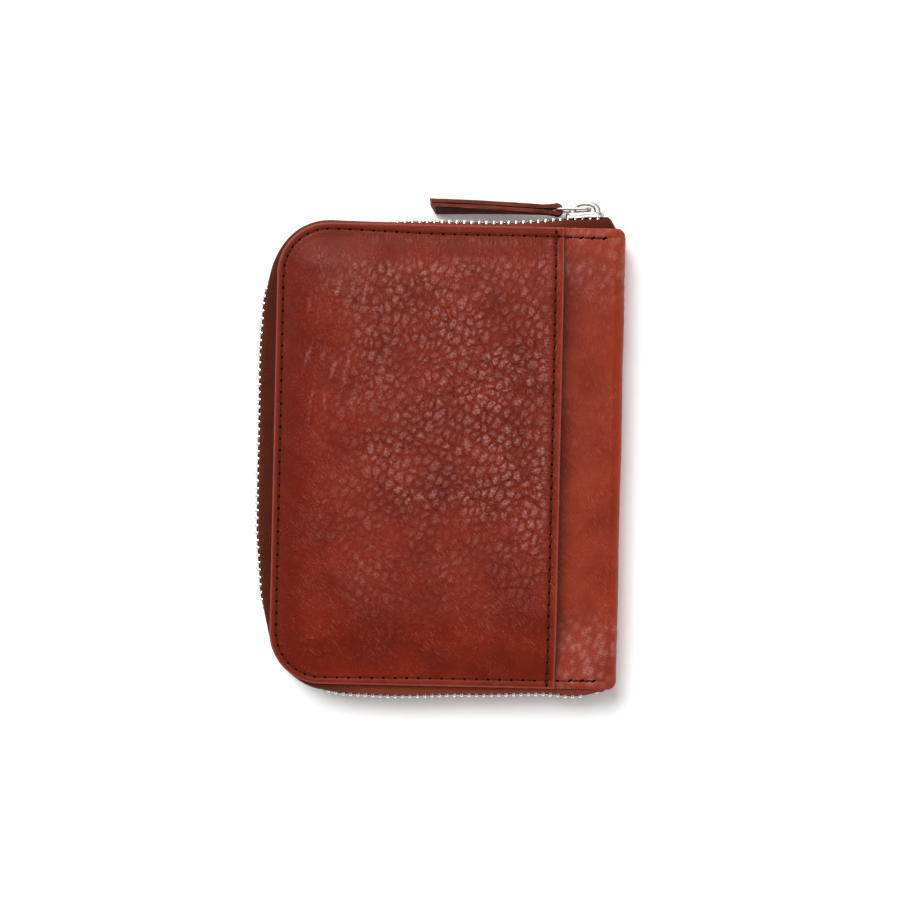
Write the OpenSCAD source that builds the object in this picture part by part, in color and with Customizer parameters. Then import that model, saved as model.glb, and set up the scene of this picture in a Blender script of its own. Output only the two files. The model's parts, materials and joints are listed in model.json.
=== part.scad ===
// Zip-around travel document organizer in leather.
// Origin: centre of the back cover's outer face. +Z points from the back cover to the
// front cover, +X towards the spine, +Y towards the end where the closed zip's slider is.
// All lengths are in millimetres.

/* [Case] */
// Width of the closed case, from the left edge to the spine's outer face
case_w = 117; // [112:1:124]
// Length of the case along the spine
case_l = 155; // [148:1:165]
// Height of the closed case over the two covers, without the slip pocket
case_h = 15; // [15:0.5:20]
// Radius of the two corners away from the spine, in plan
corner_r = 17.5; // [14:0.5:22]
// Radius of the corners at the two ends of the spine, in plan
spine_corner_r = 2.7; // [1.5:0.1:4]

/* [Materials] */
// Thickness of the cover leather
leather_t = 1.2; // [1:0.1:1.4]
// Thickness of the board that stiffens each cover
board_t = 0.8; // [0.6:0.1:1]
// Thickness of the lining cloth
lining_t = 0.4; // [0.3:0.1:0.6]
// Thickness of the thin leather that the inner pockets are cut from
pocket_leather_t = 0.6; // [0.5:0.1:0.7]

/* [Slip pocket] */
// Clear height inside the front slip pocket, for a passport booklet
passport_gap = 4.4; // [4.2:0.1:5]
// Distance from the pocket's mouth to the spine's outer face
mouth_to_spine = 20.8; // [18:0.2:26]
// Width of the flat seam border round the pocket
seam_border = 3.6; // [3:0.1:4.5]
// Width of the slope from the seam border up to the pocket's flat top
pocket_slope = 9; // [8:0.5:12]

/* [Stitching] */
// Distance from the leather's edge to the seam
seam_inset = 2.4; // [2:0.1:2.8]
// Length of one stitch, from needle hole to needle hole
stitch_pitch = 3.9; // [3.5:0.1:4.5]
// Thickness of the thread
thread_t = 0.6; // [0.4:0.1:0.7]

/* [Zip] */
// Distance between two teeth of one row
tooth_pitch = 2.5; // [2.4:0.05:2.6]
// Size of a tooth along the zip
tooth_l = 0.9; // [0.7:0.05:0.95]
// Size of a tooth across the tape's thickness
tooth_w = 2.4; // [2.2:0.1:2.5]
// Thickness of the zip tape
tape_t = 0.4; // [0.3:0.05:0.5]
// How far the chain stands out from the leather where the closed slider rests
slider_bulge = 3; // [2.8:0.1:3.4]
// Length of the slider
slider_l = 12.8; // [12:0.2:13]

/* [Pull] */
// Thickness of the ring's wire
wire_d = 1; // [0.8:0.1:1.1]
// Length of the ring between the middles of its two end bars
ring_l = 11.2; // [10:0.2:13]
// Length of the leather pull from the ring's bar to its free end
tab_l = 42; // [30:1:46]
// Width of the leather pull
tab_w = 7; // [5:0.5:7]
// Thickness of the leather pull, two layers together
tab_t = 3.2; // [2.8:0.1:3.6]

/* [Inner pockets] */
// Step from one card slot's mouth to the next
slot_step = 13; // [10:1:15]

/* [Hidden] */
$fn = 32;

cognac = [0.50, 0.20, 0.13];
thread_brown = [0.28, 0.17, 0.09];
tape_brown = [0.36, 0.17, 0.11];
lining_brown = [0.20, 0.12, 0.09];
board_grey = [0.55, 0.50, 0.42];
nickel = [0.80, 0.79, 0.76];
pull_brown = [0.38, 0.18, 0.13];

half_w = case_w / 2;
half_l = case_l / 2;
mid_z = case_h / 2;
spine_gap = 0.3;
spine_x = half_w - leather_t;
cover_end_x = spine_x - spine_gap;
mouth_x = half_w - mouth_to_spine;
board_inset = 9;
board_end_x = half_w - 5;
lining_inset = 3.2;
lining_end_x = half_w - 2;
lining_z = leather_t + board_t;
inner_z = lining_z + lining_t;
eps = 0.01;

// ---------------------------------------------------------------- plan outline

// Points of an arc about c, of radius r, from angle a to angle b
function arc(c, r, a, b, steps = 12) =
    [for (i = [0 : steps]) c + r * [cos(a + (b - a) * i / steps), sin(a + (b - a) * i / steps)]];

// Plan outline of the case, moved inwards by inset
function plan(inset = 0) =
    let (
        x = half_w - inset,
        y = half_l - inset,
        r = corner_r - inset,
        q = max(spine_corner_r - inset, 0.4)
    )
    concat(
        arc([-x + r, y - r], r, 90, 180),
        arc([-x + r, -y + r], r, 180, 270),
        arc([x - q, -y + q], q, 270, 360, 6),
        arc([x - q, y - q], q, 0, 90, 6)
    );

// The part of the plan outline to the left of x = right
module plan_left_of(right, inset = 0) {
    intersection() {
        polygon(plan(inset));
        translate([-case_w, -case_l])
            square([case_w + right, 2 * case_l]);
    }
}

module sheet(z, t, right, inset = 0) {
    translate([0, 0, z])
        linear_extrude(t)
            plan_left_of(right, inset);
}

// ---------------------------------------------------------------- route round three edges

zip_end_x = half_w - 3;
corner_x = -half_w + corner_r;
corner_y = half_l - corner_r;
corner_arc = corner_r * PI / 2;
top_end = zip_end_x - corner_x;
left_start = top_end + corner_arc;
left_end = left_start + 2 * corner_y;
bottom_start = left_end + corner_arc;
route_l = bottom_start + top_end;

// Direction out of the case at distance s along the route, in degrees
function facing(s) =
    s < top_end ? 90
    : s < left_start ? 90 + (s - top_end) / corner_r * 180 / PI
    : s < left_end ? 180
    : s < bottom_start ? 180 + (s - left_end) / corner_r * 180 / PI
    : 270;

// Point at distance s along the route, moved out of the case by d
function route(s, d) =
    let (a = facing(s), out = [cos(a), sin(a)])
    s < top_end ? [zip_end_x - s, half_l + d]
    : s < left_start ? [corner_x, corner_y] + (corner_r + d) * out
    : s < left_end ? [-half_w - d, corner_y - (s - left_start)]
    : s < bottom_start ? [corner_x, -corner_y] + (corner_r + d) * out
    : [corner_x + s - bottom_start, -half_l - d];

// ---------------------------------------------------------------- where the zip chain runs

slider_x = 44.8;
slider_y = half_l + slider_bulge;
slider_slope = atan2(slider_bulge, slider_x - corner_x);
stop_x = 52.4;
stop_s = zip_end_x - stop_x;
stop_l = 1.5;
stop_w = 1.3;

// How far the chain stands out at a few places along the rest of the route
bulge_knots = [
    [top_end, 0], [left_start - 6, 0], [left_start + 11, 3.3], [left_start + 24, 3.9],
    [left_start + 60, 3.4], [left_start + 95, 2.7], [left_end - 4, 0],
    [bottom_start - 3, 0], [bottom_start + 12, 1.8], [bottom_start + 27, 2.7],
    [bottom_start + 50, 2.2], [bottom_start + 76, 1.3], [route_l - 11, 2.3], [route_l, 0]
];

function knot_below(s, k = 0) =
    k + 2 >= len(bulge_knots) || s < bulge_knots[k + 1][0] ? k : knot_below(s, k + 1);

function ease(t) = let (u = min(max(t, 0), 1)) u * u * (3 - 2 * u);

function bulge(s) =
    let (k = knot_below(s), a = bulge_knots[k], b = bulge_knots[k + 1])
    s < stop_s ? slider_line(stop_s) * ease(s / stop_s)
    : s < top_end ? slider_line(s)
    : a[1] + (b[1] - a[1]) * ease((s - a[0]) / (b[0] - a[0]));

function slider_line(s) = slider_bulge * (zip_end_x - s - corner_x) / (slider_x - corner_x);

// The two rows of teeth part by this much each in the nose of the slider
part_most = 1.8;
part_from_x = slider_x - 1;
part_run = 4.5;
function parting(s) = part_most * ease((zip_end_x - s - part_from_x) / part_run);

tooth_bite = 0.9;
tooth_h = 3.3;
tooth_top = tooth_h - tooth_bite;
first_tooth_x = 49;
first_tooth_s = zip_end_x - first_tooth_x;
last_tooth_gap = 6;
tooth_count = floor((route_l - first_tooth_s - last_tooth_gap) / tooth_pitch);

// A block that stands on the route, centred on the chain's line, from z = low to z = high
module on_route(s, length, width, low, high) {
    translate(concat(route(s, bulge(s)), [low]))
        rotate([0, 0, facing(s) - 90])
            translate([-length / 2, -width / 2, 0])
                cube([length, width, high - low]);
}

module teeth(first_s) {
    for (i = [0 : tooth_count - 1])
        let (s = first_s + i * tooth_pitch, low = parting(s) - tooth_bite)
            on_route(s, tooth_l, tooth_w, low, low + tooth_h);
}

module top_stop() {
    on_route(stop_s, stop_l, stop_w, part_most - 0.2, part_most + tooth_top);
}

// Section of one half's tape in the plane across the route: a sheet that is sewn under the
// cover's border, then turns down into the chain. Heights are above the chain's middle.
tape_sewn_w = 7.5;
tape_sewn_z = mid_z - leather_t - tape_t / 2;
tape_bend_r = 1.5;

function tape_line(s) =
    let (p = bulge(s), bend = [p - tape_bend_r, tape_sewn_z - tape_bend_r])
    concat(
        [[-tape_sewn_w, tape_sewn_z], [-seam_inset, tape_sewn_z]],
        arc(bend, tape_bend_r, 90, 0, 4),
        [[p, parting(s) + tooth_top]]
    );

function tape_section(s) =
    let (
        line = tape_line(s),
        last = len(line) - 1,
        side = [for (i = [0 : last])
            let (along = line[min(i + 1, last)] - line[max(i - 1, 0)], n = norm(along))
            tape_t / 2 * [-along[1], along[0]] / n]
    )
    concat(
        [for (i = [0 : last]) line[i] + side[i]],
        [for (i = [last : -1 : 0]) line[i] - side[i]]
    );

function tape_ring(s) =
    [for (q = tape_section(s)) concat(route(s, q[0]), [q[1]])];

// The tape's rings are closest together where the two halves part
parted_l = 8;
tape_stations = concat(
    [0.2, 1.1, 2, stop_s + 0.2],
    [for (i = [0 : 5]) first_tooth_s + i * parted_l / 5],
    [for (i = [1 : 5]) first_tooth_s + parted_l + i * (top_end - first_tooth_s - parted_l) / 5],
    [for (i = [1 : 7]) top_end + i * corner_arc / 7],
    [for (i = [1 : 24]) left_start + i * (left_end - left_start) / 24],
    [for (i = [1 : 7]) left_end + i * corner_arc / 7],
    [for (i = [1 : 23]) bottom_start + i * (top_end - 0.2) / 23]
);

module tape() {
    rings = [for (s = tape_stations) tape_ring(s)];
    n = len(rings[0]);
    last = len(rings) - 1;
    polyhedron(
        points = [for (ring = rings) each ring],
        faces = concat(
            [[for (j = [0 : n - 1]) j]],
            [for (i = [0 : last - 1], j = [0 : n - 1])
                let (a = i * n + j, b = i * n + (j + 1) % n)
                each [[a, a + n, b], [b, a + n, b + n]]],
            [[for (j = [n - 1 : -1 : 0]) last * n + j]]
        )
    );
}

// Children are drawn about the chain's middle height; the back half is the mirror image
module front_half() {
    translate([0, 0, mid_z])
        children();
}

module back_half() {
    translate([0, 0, mid_z])
        mirror([0, 0, 1])
            children();
}

// ---------------------------------------------------------------- seams

stitch_gap = 0.9;
stitch_l = stitch_pitch - stitch_gap;
seam_start = 3;
seam_l = route_l - 2 * seam_start;

// Stitches along the border of a cover, between distances a and b of the route
module border_stitches(a, b, z) {
    for (s = [a : stitch_pitch : b])
        translate(concat(route(s, -seam_inset), [z]))
            rotate([0, 0, facing(s) - 90])
                translate([-stitch_l / 2, -thread_t / 2, 0])
                    cube([stitch_l, thread_t, thread_t / 2]);
}

pocket_seam_start = zip_end_x - mouth_x + stitch_l / 2;
pocket_seam_end = route_l - pocket_seam_start;
groove_depth = 0.4;
groove_half = thread_t / 2 + 0.1;

module seam_groove() {
    translate([0, 0, -eps])
        linear_extrude(groove_depth + eps)
            difference() {
                plan_left_of(zip_end_x, seam_inset - groove_half);
                polygon(plan(seam_inset + groove_half));
            }
}

// ---------------------------------------------------------------- back half

module back_cover() {
    color(cognac)
        difference() {
            sheet(0, leather_t, cover_end_x);
            seam_groove();
        }
}

module back_board() {
    color(board_grey)
        sheet(leather_t, board_t, board_end_x, board_inset);
}

module back_lining() {
    color(lining_brown)
        sheet(lining_z, lining_t, lining_end_x, lining_inset);
}

module back_stitching() {
    color(thread_brown)
        border_stitches(seam_start, seam_start + seam_l, groove_depth - thread_t / 2);
}

doc_gap = 0.8;
doc_t = 0.8;
doc_mouth_x = 44;
doc_inset = 6;
doc_rim = 3;

// A panel sewn on three sides, open towards the spine, with a thin gap for papers
module document_pocket() {
    color(cognac)
        difference() {
            sheet(inner_z, doc_gap + doc_t, doc_mouth_x, doc_inset);
            translate([0, 0, inner_z - eps])
                linear_extrude(doc_gap + eps)
                    plan_left_of(case_w, doc_inset + doc_rim);
        }
}

ticket_z = inner_z + doc_gap + doc_t;
ticket_mouth_y = 12;

module ticket_pocket() {
    color(cognac)
        translate([0, 0, ticket_z])
            linear_extrude(pocket_leather_t)
                intersection() {
                    plan_left_of(doc_mouth_x - 2, doc_inset + 1);
                    translate([-case_w, -case_l])
                        square([2 * case_w, case_l + ticket_mouth_y]);
                }
}

module back_zip_tape() {
    color(tape_brown)
        back_half()
            tape();
}

module back_zip_teeth() {
    color(nickel)
        back_half()
            teeth(first_tooth_s + tooth_pitch / 2);
}

module back_top_stop() {
    color(nickel)
        back_half()
            top_stop();
}

end_stop_l = 1.8;
end_stop_w = 2.6;
end_stop_gap = 3.4;

module bottom_stop() {
    color(nickel)
        front_half()
            on_route(route_l - end_stop_gap, end_stop_l, end_stop_w, -tooth_top, tooth_top - 0.3);
}

// ---------------------------------------------------------------- spine

module spine_strip(x, t, low, high, length) {
    translate([x, -length / 2, low])
        cube([t, length, high - low]);
}

// The leather of the spine, rounded where it turns into the two covers
module spine_cover() {
    r = leather_t;
    section = concat(
        [[spine_x, 0]],
        arc([half_w - r, r], r, -90, 0, 6),
        arc([half_w - r, case_h - r], r, 0, 90, 6),
        [[spine_x, case_h]]
    );
    color(cognac)
        intersection() {
            translate([0, half_l, 0])
                rotate([90, 0, 0])
                    linear_extrude(case_l)
                        polygon(section);
            linear_extrude(case_h)
                polygon(plan());
        }
}

module spine_lining() {
    z = inner_z + spine_gap;
    color(lining_brown)
        spine_strip(spine_x - lining_t, lining_t, z, case_h - z, case_l - 2 * lining_inset);
}

// ---------------------------------------------------------------- front half

module front_cover() {
    color(cognac)
        sheet(case_h - leather_t, leather_t, cover_end_x);
}

module front_board() {
    color(board_grey)
        sheet(case_h - lining_z, board_t, board_end_x, board_inset);
}

module front_lining() {
    color(lining_brown)
        sheet(case_h - inner_z, lining_t, lining_end_x, lining_inset);
}

panel_t = leather_t - 0.1;
pocket_top_z = case_h + passport_gap + panel_t;
pocket_inset = seam_border + pocket_slope;

// A hull from the pocket's foot at the seam border to its flat top
module pocket_hump(foot_z, foot_inset, top_z, top_inset, right) {
    hull() {
        translate([0, 0, foot_z])
            linear_extrude(eps)
                polygon(plan(foot_inset));
        translate([right, 0, top_z - eps])
            linear_extrude(eps)
                polygon(plan(top_inset));
    }
}

// The outer panel: sewn flat on three sides and bowed up in the middle, open at the mouth
module slip_pocket() {
    skin = panel_t - 0.5;
    foot_inset = seam_border + skin;
    color(cognac)
        intersection() {
            difference() {
                union() {
                    sheet(case_h, panel_t, case_w);
                    pocket_hump(case_h + panel_t - eps, seam_border, pocket_top_z, pocket_inset, 0);
                    translate([0, 0, case_h])
                        linear_extrude(pocket_top_z - case_h)
                            translate([0, -(half_l - pocket_inset)])
                                square([half_w, 2 * (half_l - pocket_inset)]);
                }
                pocket_hump(case_h - eps, foot_inset, pocket_top_z - panel_t, pocket_inset, 0);
                translate([0, 0, case_h - eps])
                    linear_extrude(passport_gap + eps)
                        translate([0, -(half_l - pocket_inset)])
                            square([half_w, 2 * (half_l - pocket_inset)]);
            }
            translate([-case_w, -case_l, 0])
                cube([case_w + mouth_x, 2 * case_l, 2 * pocket_top_z]);
        }
}

// The border seam runs over the pocket's edge and on along the bare cover to the spine
module front_stitching() {
    color(thread_brown) {
        border_stitches(seam_start, pocket_seam_start - stitch_pitch, case_h);
        border_stitches(pocket_seam_start, pocket_seam_end, case_h + panel_t);
        border_stitches(pocket_seam_end + stitch_pitch, route_l - seam_start, case_h);
    }
}

mouth_seam_inset = 2.8;
mouth_seam_x = mouth_x - mouth_seam_inset;
mouth_seam_half = half_l - pocket_inset - stitch_l;

// The seam of the turned hem along the pocket's mouth
module slip_pocket_stitching() {
    color(thread_brown)
        for (y = [-mouth_seam_half : stitch_pitch : mouth_seam_half])
            translate([mouth_seam_x - thread_t / 2, y - stitch_l / 2, pocket_top_z])
                cube([thread_t, stitch_l, thread_t / 2]);
}

slot_half_w = 47;
slot_foot_y = -70;
first_slot_mouth_y = 25;

// Card slots overlap like shingles, each one on top of the one before and shorter
module card_slot(k) {
    color(cognac)
        translate([0, 0, case_h - inner_z - k * pocket_leather_t])
            linear_extrude(pocket_leather_t)
                intersection() {
                    plan_left_of(slot_half_w, doc_inset);
                    translate([-slot_half_w, slot_foot_y])
                        square([2 * slot_half_w, first_slot_mouth_y - slot_foot_y - (k - 1) * slot_step]);
                }
}

module front_zip_tape() {
    color(tape_brown)
        front_half()
            tape();
}

module front_zip_teeth() {
    color(nickel)
        front_half()
            teeth(first_tooth_s);
}

module front_top_stop() {
    color(nickel)
        front_half()
            top_stop();
}

// ---------------------------------------------------------------- slider and pull

channel = 1.35;
plate_t = 1.2;
nose_half = 5;
tail_half = 3.7;
flange_h = 0.65;
flange_reach = 0.6;

// Slider frame: x along the chain towards the nose, y out of the case, z as in the case
module at_slider() {
    translate([slider_x, slider_y, mid_z])
        rotate([0, 0, slider_slope])
            children();
}

function shield(inset = 0) =
    let (x = slider_l / 2, n = nose_half - inset, t = tail_half - inset)
    [
        [-x, -t + 1.2], [-x + 1.2, -t], [-1, -t - 0.2], [2.6, -n], [x - 1.4, -n], [x, -n + 1.4],
        [x, n - 1.4], [x - 1.4, n], [2.6, n], [-1, t + 0.2], [-x + 1.2, t], [-x, t - 1.2]
    ];

// Extrudes a shape drawn in the slider's x-z plane from y = a to y = b
module across(a, b) {
    translate([0, b, 0])
        rotate([90, 0, 0])
            linear_extrude(b - a)
                children();
}

module flange(a, b) {
    across(a, b)
        intersection() {
            difference() {
                polygon(shield());
                polygon(shield(flange_h));
            }
            union() {
                for (side = [-1, 1])
                    translate([-slider_l, side > 0 ? 2.6 : -2.6 - nose_half])
                        square([2 * slider_l, nose_half]);
            }
        }
}

post_tip_x = 3.4;

module slider_body() {
    color(nickel)
        at_slider() {
            across(channel, channel + plate_t)
                polygon(shield());
            across(-channel - plate_t, -channel)
                polygon(shield());
            flange(channel - flange_reach, channel + eps);
            flange(-channel - eps, -channel + flange_reach);
            across(-channel - eps, channel + eps)
                polygon([[post_tip_x, 0], [post_tip_x + 0.8, -0.6], [slider_l / 2, -0.6],
                    [slider_l / 2, 0.6], [post_tip_x + 0.8, 0.6]]);
        }
}

bridge_z = 1.2;
plate_y = channel + plate_t;
ring_y = plate_y + 1.3;
ring_bar_x = 1.8;
ring_droop = 3.5;

// Arch over the slider's outer plate that the ring hangs in
module slider_bridge() {
    color(nickel)
        at_slider()
            translate([0, plate_y, -bridge_z])
                linear_extrude(2 * bridge_z)
                    difference() {
                        polygon(concat(
                            [[-5.4, 0]],
                            arc([-2.4, 1.2], 3, 180, 90, 8),
                            arc([2.6, 1.2], 3, 90, 0, 8),
                            [[5.6, 0]]
                        ));
                        polygon(concat(
                            arc([-1.9, 1.6], 1.1, 270, 90, 10),
                            arc([2.3, 1.6], 1.1, 90, -90, 10)
                        ));
                    }
}

ring_half = 4.2;
ring_bend = 1.2;

// One straight bar of the ring
module bar(length) {
    cylinder(h = length, d = wire_d, center = true);
}

// Wire ring in the slider's x-z plane; its bar at x = 0 is the one in the bridge
module ring_shape() {
    straight_x = ring_l - 2 * ring_bend;
    straight_z = 2 * (ring_half - ring_bend);
    translate([-ring_l / 2, 0, 0]) {
        for (side = [-1, 1]) {
            translate([side * ring_l / 2, 0, 0])
                bar(straight_z);
            translate([0, 0, side * ring_half])
                rotate([0, 90, 0])
                    bar(straight_x);
        }
        for (turn = [0 : 3])
            let (sx = (turn == 0 || turn == 3) ? 1 : -1, sz = turn < 2 ? 1 : -1)
                translate([sx * straight_x / 2, 0, sz * straight_z / 2])
                    rotate([90, 0, 0])
                        rotate([0, 0, turn * 90])
                            rotate_extrude(angle = 90)
                                translate([ring_bend, 0])
                                    circle(d = wire_d);
    }
}

// Ring frame: z along the bar that hangs in the bridge, x along the ring towards the nose
module at_ring() {
    at_slider()
        translate([ring_bar_x, ring_y, 0])
            rotate([0, -ring_droop, 0])
                children();
}

module pull_ring() {
    color(nickel)
        at_ring()
            ring_shape();
}

tab_lift = 1.8;
tab_loop_r = 2.1;
tab_hole_r = 0.85;
tab_hole_l = 3.4;
tab_slant = 2;

// Strip of leather folded round the ring's outer bar, with its two ends cut at a slant
module pull_tab() {
    outline = concat(
        arc([0, 0], tab_loop_r, -120, 120, 16),
        [[-4, tab_t / 2], [-tab_l, tab_t / 2], [-tab_l + tab_slant, -tab_t / 2], [-4, -tab_t / 2]]
    );
    hole = concat(arc([0, 0], tab_hole_r, -105, 105, 12), [[-tab_hole_l, 0]]);
    color(pull_brown)
        at_ring()
            translate([-ring_l, 0, -tab_w / 2])
                rotate([0, 0, -tab_lift])
                    linear_extrude(tab_w)
                        difference() {
                            polygon(outline);
                            polygon(hole);
                        }
}

back_cover();
back_board();
back_lining();
back_stitching();
document_pocket();
ticket_pocket();
back_zip_tape();
back_zip_teeth();
back_top_stop();
bottom_stop();
spine_cover();
spine_lining();
front_cover();
front_board();
front_lining();
front_stitching();
slip_pocket();
slip_pocket_stitching();
card_slot(1);  // card_slot_1
card_slot(2);  // card_slot_2
card_slot(3);  // card_slot_3
card_slot(4);  // card_slot_4
front_zip_tape();
front_zip_teeth();
front_top_stop();
slider_body();
slider_bridge();
pull_ring();
pull_tab();
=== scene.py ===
"""Looks of the zip-around travel document organizer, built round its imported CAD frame.

Meshes are worked out in millimetres in the row frame and scaled to metres when they are made.
"""

import json
import math

import bpy
import numpy as np
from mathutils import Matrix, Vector


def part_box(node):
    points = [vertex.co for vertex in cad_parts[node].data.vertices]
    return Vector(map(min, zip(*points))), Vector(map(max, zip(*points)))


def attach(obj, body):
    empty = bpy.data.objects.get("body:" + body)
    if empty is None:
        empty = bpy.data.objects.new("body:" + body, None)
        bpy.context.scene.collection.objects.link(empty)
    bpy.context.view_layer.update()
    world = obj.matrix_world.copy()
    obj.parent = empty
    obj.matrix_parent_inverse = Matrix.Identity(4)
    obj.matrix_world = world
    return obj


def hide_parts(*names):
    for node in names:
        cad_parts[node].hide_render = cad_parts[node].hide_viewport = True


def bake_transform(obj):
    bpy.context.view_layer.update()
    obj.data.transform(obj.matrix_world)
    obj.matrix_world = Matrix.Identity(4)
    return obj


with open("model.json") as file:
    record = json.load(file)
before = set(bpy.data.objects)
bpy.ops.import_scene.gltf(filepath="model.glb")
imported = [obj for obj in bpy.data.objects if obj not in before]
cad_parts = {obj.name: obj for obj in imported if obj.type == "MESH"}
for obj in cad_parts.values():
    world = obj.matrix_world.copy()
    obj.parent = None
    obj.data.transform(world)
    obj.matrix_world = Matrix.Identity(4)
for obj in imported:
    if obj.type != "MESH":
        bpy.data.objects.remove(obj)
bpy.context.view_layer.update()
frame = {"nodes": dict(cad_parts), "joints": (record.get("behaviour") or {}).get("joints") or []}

MM = 0.001


def box_mm(node):
    low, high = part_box(node)
    return np.array(low) / MM, np.array(high) / MM


# ------------------------------------------------------------------ sizes, in millimetres

front_low, front_high = box_mm("front_cover")
pocket_high = box_mm("slip_pocket")[1]
lining_low, lining_high = box_mm("front_lining")

LEFT = front_low[0]
RIGHT = box_mm("spine_cover")[1][0]
HALF_L = front_high[1]
TOP_Z = front_high[2]
MID_Z = TOP_Z / 2
LEATHER_T = front_high[2] - front_low[2]
LINING_T = lining_high[2] - lining_low[2]
LINING_Z = lining_high[2]
LINING_INSET = lining_low[0] - LEFT
MOUTH_X = pocket_high[0]
POCKET_TOP = pocket_high[2]
PANEL_T = 1.1
CORNER_R = 17.5
SPINE_CORNER_R = 2.7
SHOULDER = 4.0  # radius of the covers' bend into the spine
HEM_SEAM = 2.8  # from the slip pocket's mouth
HEM_EXTRA_T = 0.3  # the hem is turned in, so it is thicker
FINE_BORDER = 4.6  # the grids are finer this near to an edge
STITCH_PITCH = 3.9
PANEL_STITCH_PITCH = 3.1
SEAM_DENT = 0.16
THREAD_R = 0.22
THREAD_SIDES = 7
HOLE_DEPTH = 0.25
HOLE_SIDES = 10
TOOTH_PITCH = 2.5
COVER_SWELL = 0.34  # the most that a cover's outer face may stand proud

# ------------------------------------------------------------------ numbers that repeat each run


def lattice(i, j, seed):
    """A repeatable number from 0 to 1 for each pair of whole numbers."""
    h = (i * 374761393 + j * 668265263 + seed * 974634777) & 0xFFFFFFFF
    h = ((h ^ (h >> 13)) * 1274126177) & 0xFFFFFFFF
    return ((h ^ (h >> 16)) & 0xFFFF) / 65535.0


def ease(t):
    t = np.clip(t, 0, 1)
    return t * t * (3 - 2 * t)


def ramp_up(v, a, b):
    return ease((v - a) / (b - a))


def hump(v, middle, width):
    """A bell of height 1 at middle."""
    return np.exp(-(((v - middle) / width) ** 2))


def points_at(x, y, z):
    """Points from their coordinates, each an array or one number for all."""
    return np.stack(np.broadcast_arrays(x, y, z), -1)


def unit(vectors):
    return vectors / np.linalg.norm(vectors, axis=1)[:, None]


def circle(sides):
    """Angles once round, in radians."""
    return np.linspace(0, 2 * math.pi, sides, endpoint=False)


def soft_noise(x, y, size, seed):
    """Soft bumps from -1 to 1, about size across."""
    u, v = x / size, y / size
    i, j = np.floor(u).astype(np.int64), np.floor(v).astype(np.int64)
    f, g = ease(u - i), ease(v - j)
    low = lattice(i, j, seed) * (1 - f) + lattice(i + 1, j, seed) * f
    high = lattice(i, j + 1, seed) * (1 - f) + lattice(i + 1, j + 1, seed) * f
    return 2 * (low * (1 - g) + high * g) - 1


def near_cells(x, y, size, jitter, seed):
    """Each of the nine cells round a place, with the distance to its point in cells."""
    u, v = x / size, y / size
    i, j = np.floor(u).astype(np.int64), np.floor(v).astype(np.int64)
    for di in (-1, 0, 1):
        for dj in (-1, 0, 1):
            a, b = i + di, j + dj
            cx = a + 0.5 + jitter * (lattice(a, b, seed) - 0.5)
            cy = b + 0.5 + jitter * (lattice(a, b, seed + 7) - 0.5)
            yield np.hypot(u - cx, v - cy), a, b


def packed_cells(x, y, size, seed):
    """Distances to the nearest and next cell points, and the nearest one's own number."""
    near, second, own = np.full(x.shape, 9.0), np.full(x.shape, 9.0), np.zeros(x.shape)
    for d, a, b in near_cells(x, y, size, 0.85, seed):
        second = np.minimum(np.maximum(near, d), second)
        own = np.where(d < near, lattice(a, b, seed + 17), own)
        near = np.minimum(near, d)
    return near, second, own


def pebbles(x, y, size, seed):
    """Even domes from 0 to 1, packed side by side with creases between them."""
    near, second, _ = packed_cells(x, y, size, seed)
    return ease((second - near) / 0.45) * (1 - 0.45 * near**2)


def cobbles(x, y, size, seed):
    """Rounded bumps packed side by side, each with a height of its own."""
    near, second, own = packed_cells(x, y, size, seed)
    round_top = np.clip(1 - 1.2 * near**2, 0, 1) ** 0.7
    return (0.60 + 0.40 * own) * ease((second - near) / 0.55) * round_top


def domes(x, y, size, seed):
    """Separate rounded bumps, one in each cell, each with a height of its own."""
    best = np.zeros(x.shape)
    for d, a, b in near_cells(x, y, size, 0.8, seed):
        reach = 0.36 + 0.26 * lattice(a, b, seed + 11)
        tall = 0.45 + 0.55 * lattice(a, b, seed + 17)
        best = np.maximum(best, tall * (1 - ease((d / reach - 0.25) / 0.85)))
    return best


def turned(x, y, degrees, stretch):
    """Coordinates along and across a direction, with the first one shortened by stretch."""
    c, s = math.cos(math.radians(degrees)), math.sin(math.radians(degrees))
    return (c * x + s * y) / stretch, -s * x + c * y


# ------------------------------------------------------------------ outline of the case

corner_x = LEFT + CORNER_R
corner_y = HALF_L - CORNER_R
zip_end_x = RIGHT - 3
CORNER_ARC = CORNER_R * math.pi / 2
TOP_RUN = zip_end_x - corner_x
LEFT_START = TOP_RUN + CORNER_ARC
LEFT_END = LEFT_START + 2 * corner_y
BOTTOM_START = LEFT_END + CORNER_ARC
ROUTE_L = BOTTOM_START + TOP_RUN


def border_distance(x, y, inset=0.0):
    """Distance in from the three edges away from the spine."""
    dx, dy = corner_x - x, np.abs(y) - corner_y
    straight = np.minimum(x - LEFT, HALF_L - np.abs(y))
    corner = CORNER_R - np.hypot(dx, dy)
    return np.where((dx > 0) & (dy > 0), corner, straight) - inset


def left_edge(y, inset=0.0):
    """The case's left edge at y, curved at the two free corners."""
    dy = np.maximum(np.abs(y) - corner_y, 0)
    r = CORNER_R - inset
    return corner_x - np.sqrt(np.maximum(r * r - dy * dy, 0))


def half_length(x, inset=0.0):
    """Half the length of the case at x, shorter at the rounded ends of the spine."""
    r = SPINE_CORNER_R
    dx = np.clip(x - (RIGHT - r), 0, r)
    return HALF_L - inset - r + np.sqrt(r * r - dx * dx)


def seam_inset(x, y):
    """How far in from the edge the border seam runs."""
    along = ramp_up(x, corner_x, 0)
    return 2.25 + along * ramp_up(y, 60, 72) + 0.4 * along * ramp_up(-y, 60, 72)


def stretches(s):
    """Top, corner, left and corner: what is left over is the bottom."""
    return [s < TOP_RUN, s < LEFT_START, s < LEFT_END, s < BOTTOM_START]


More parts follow.
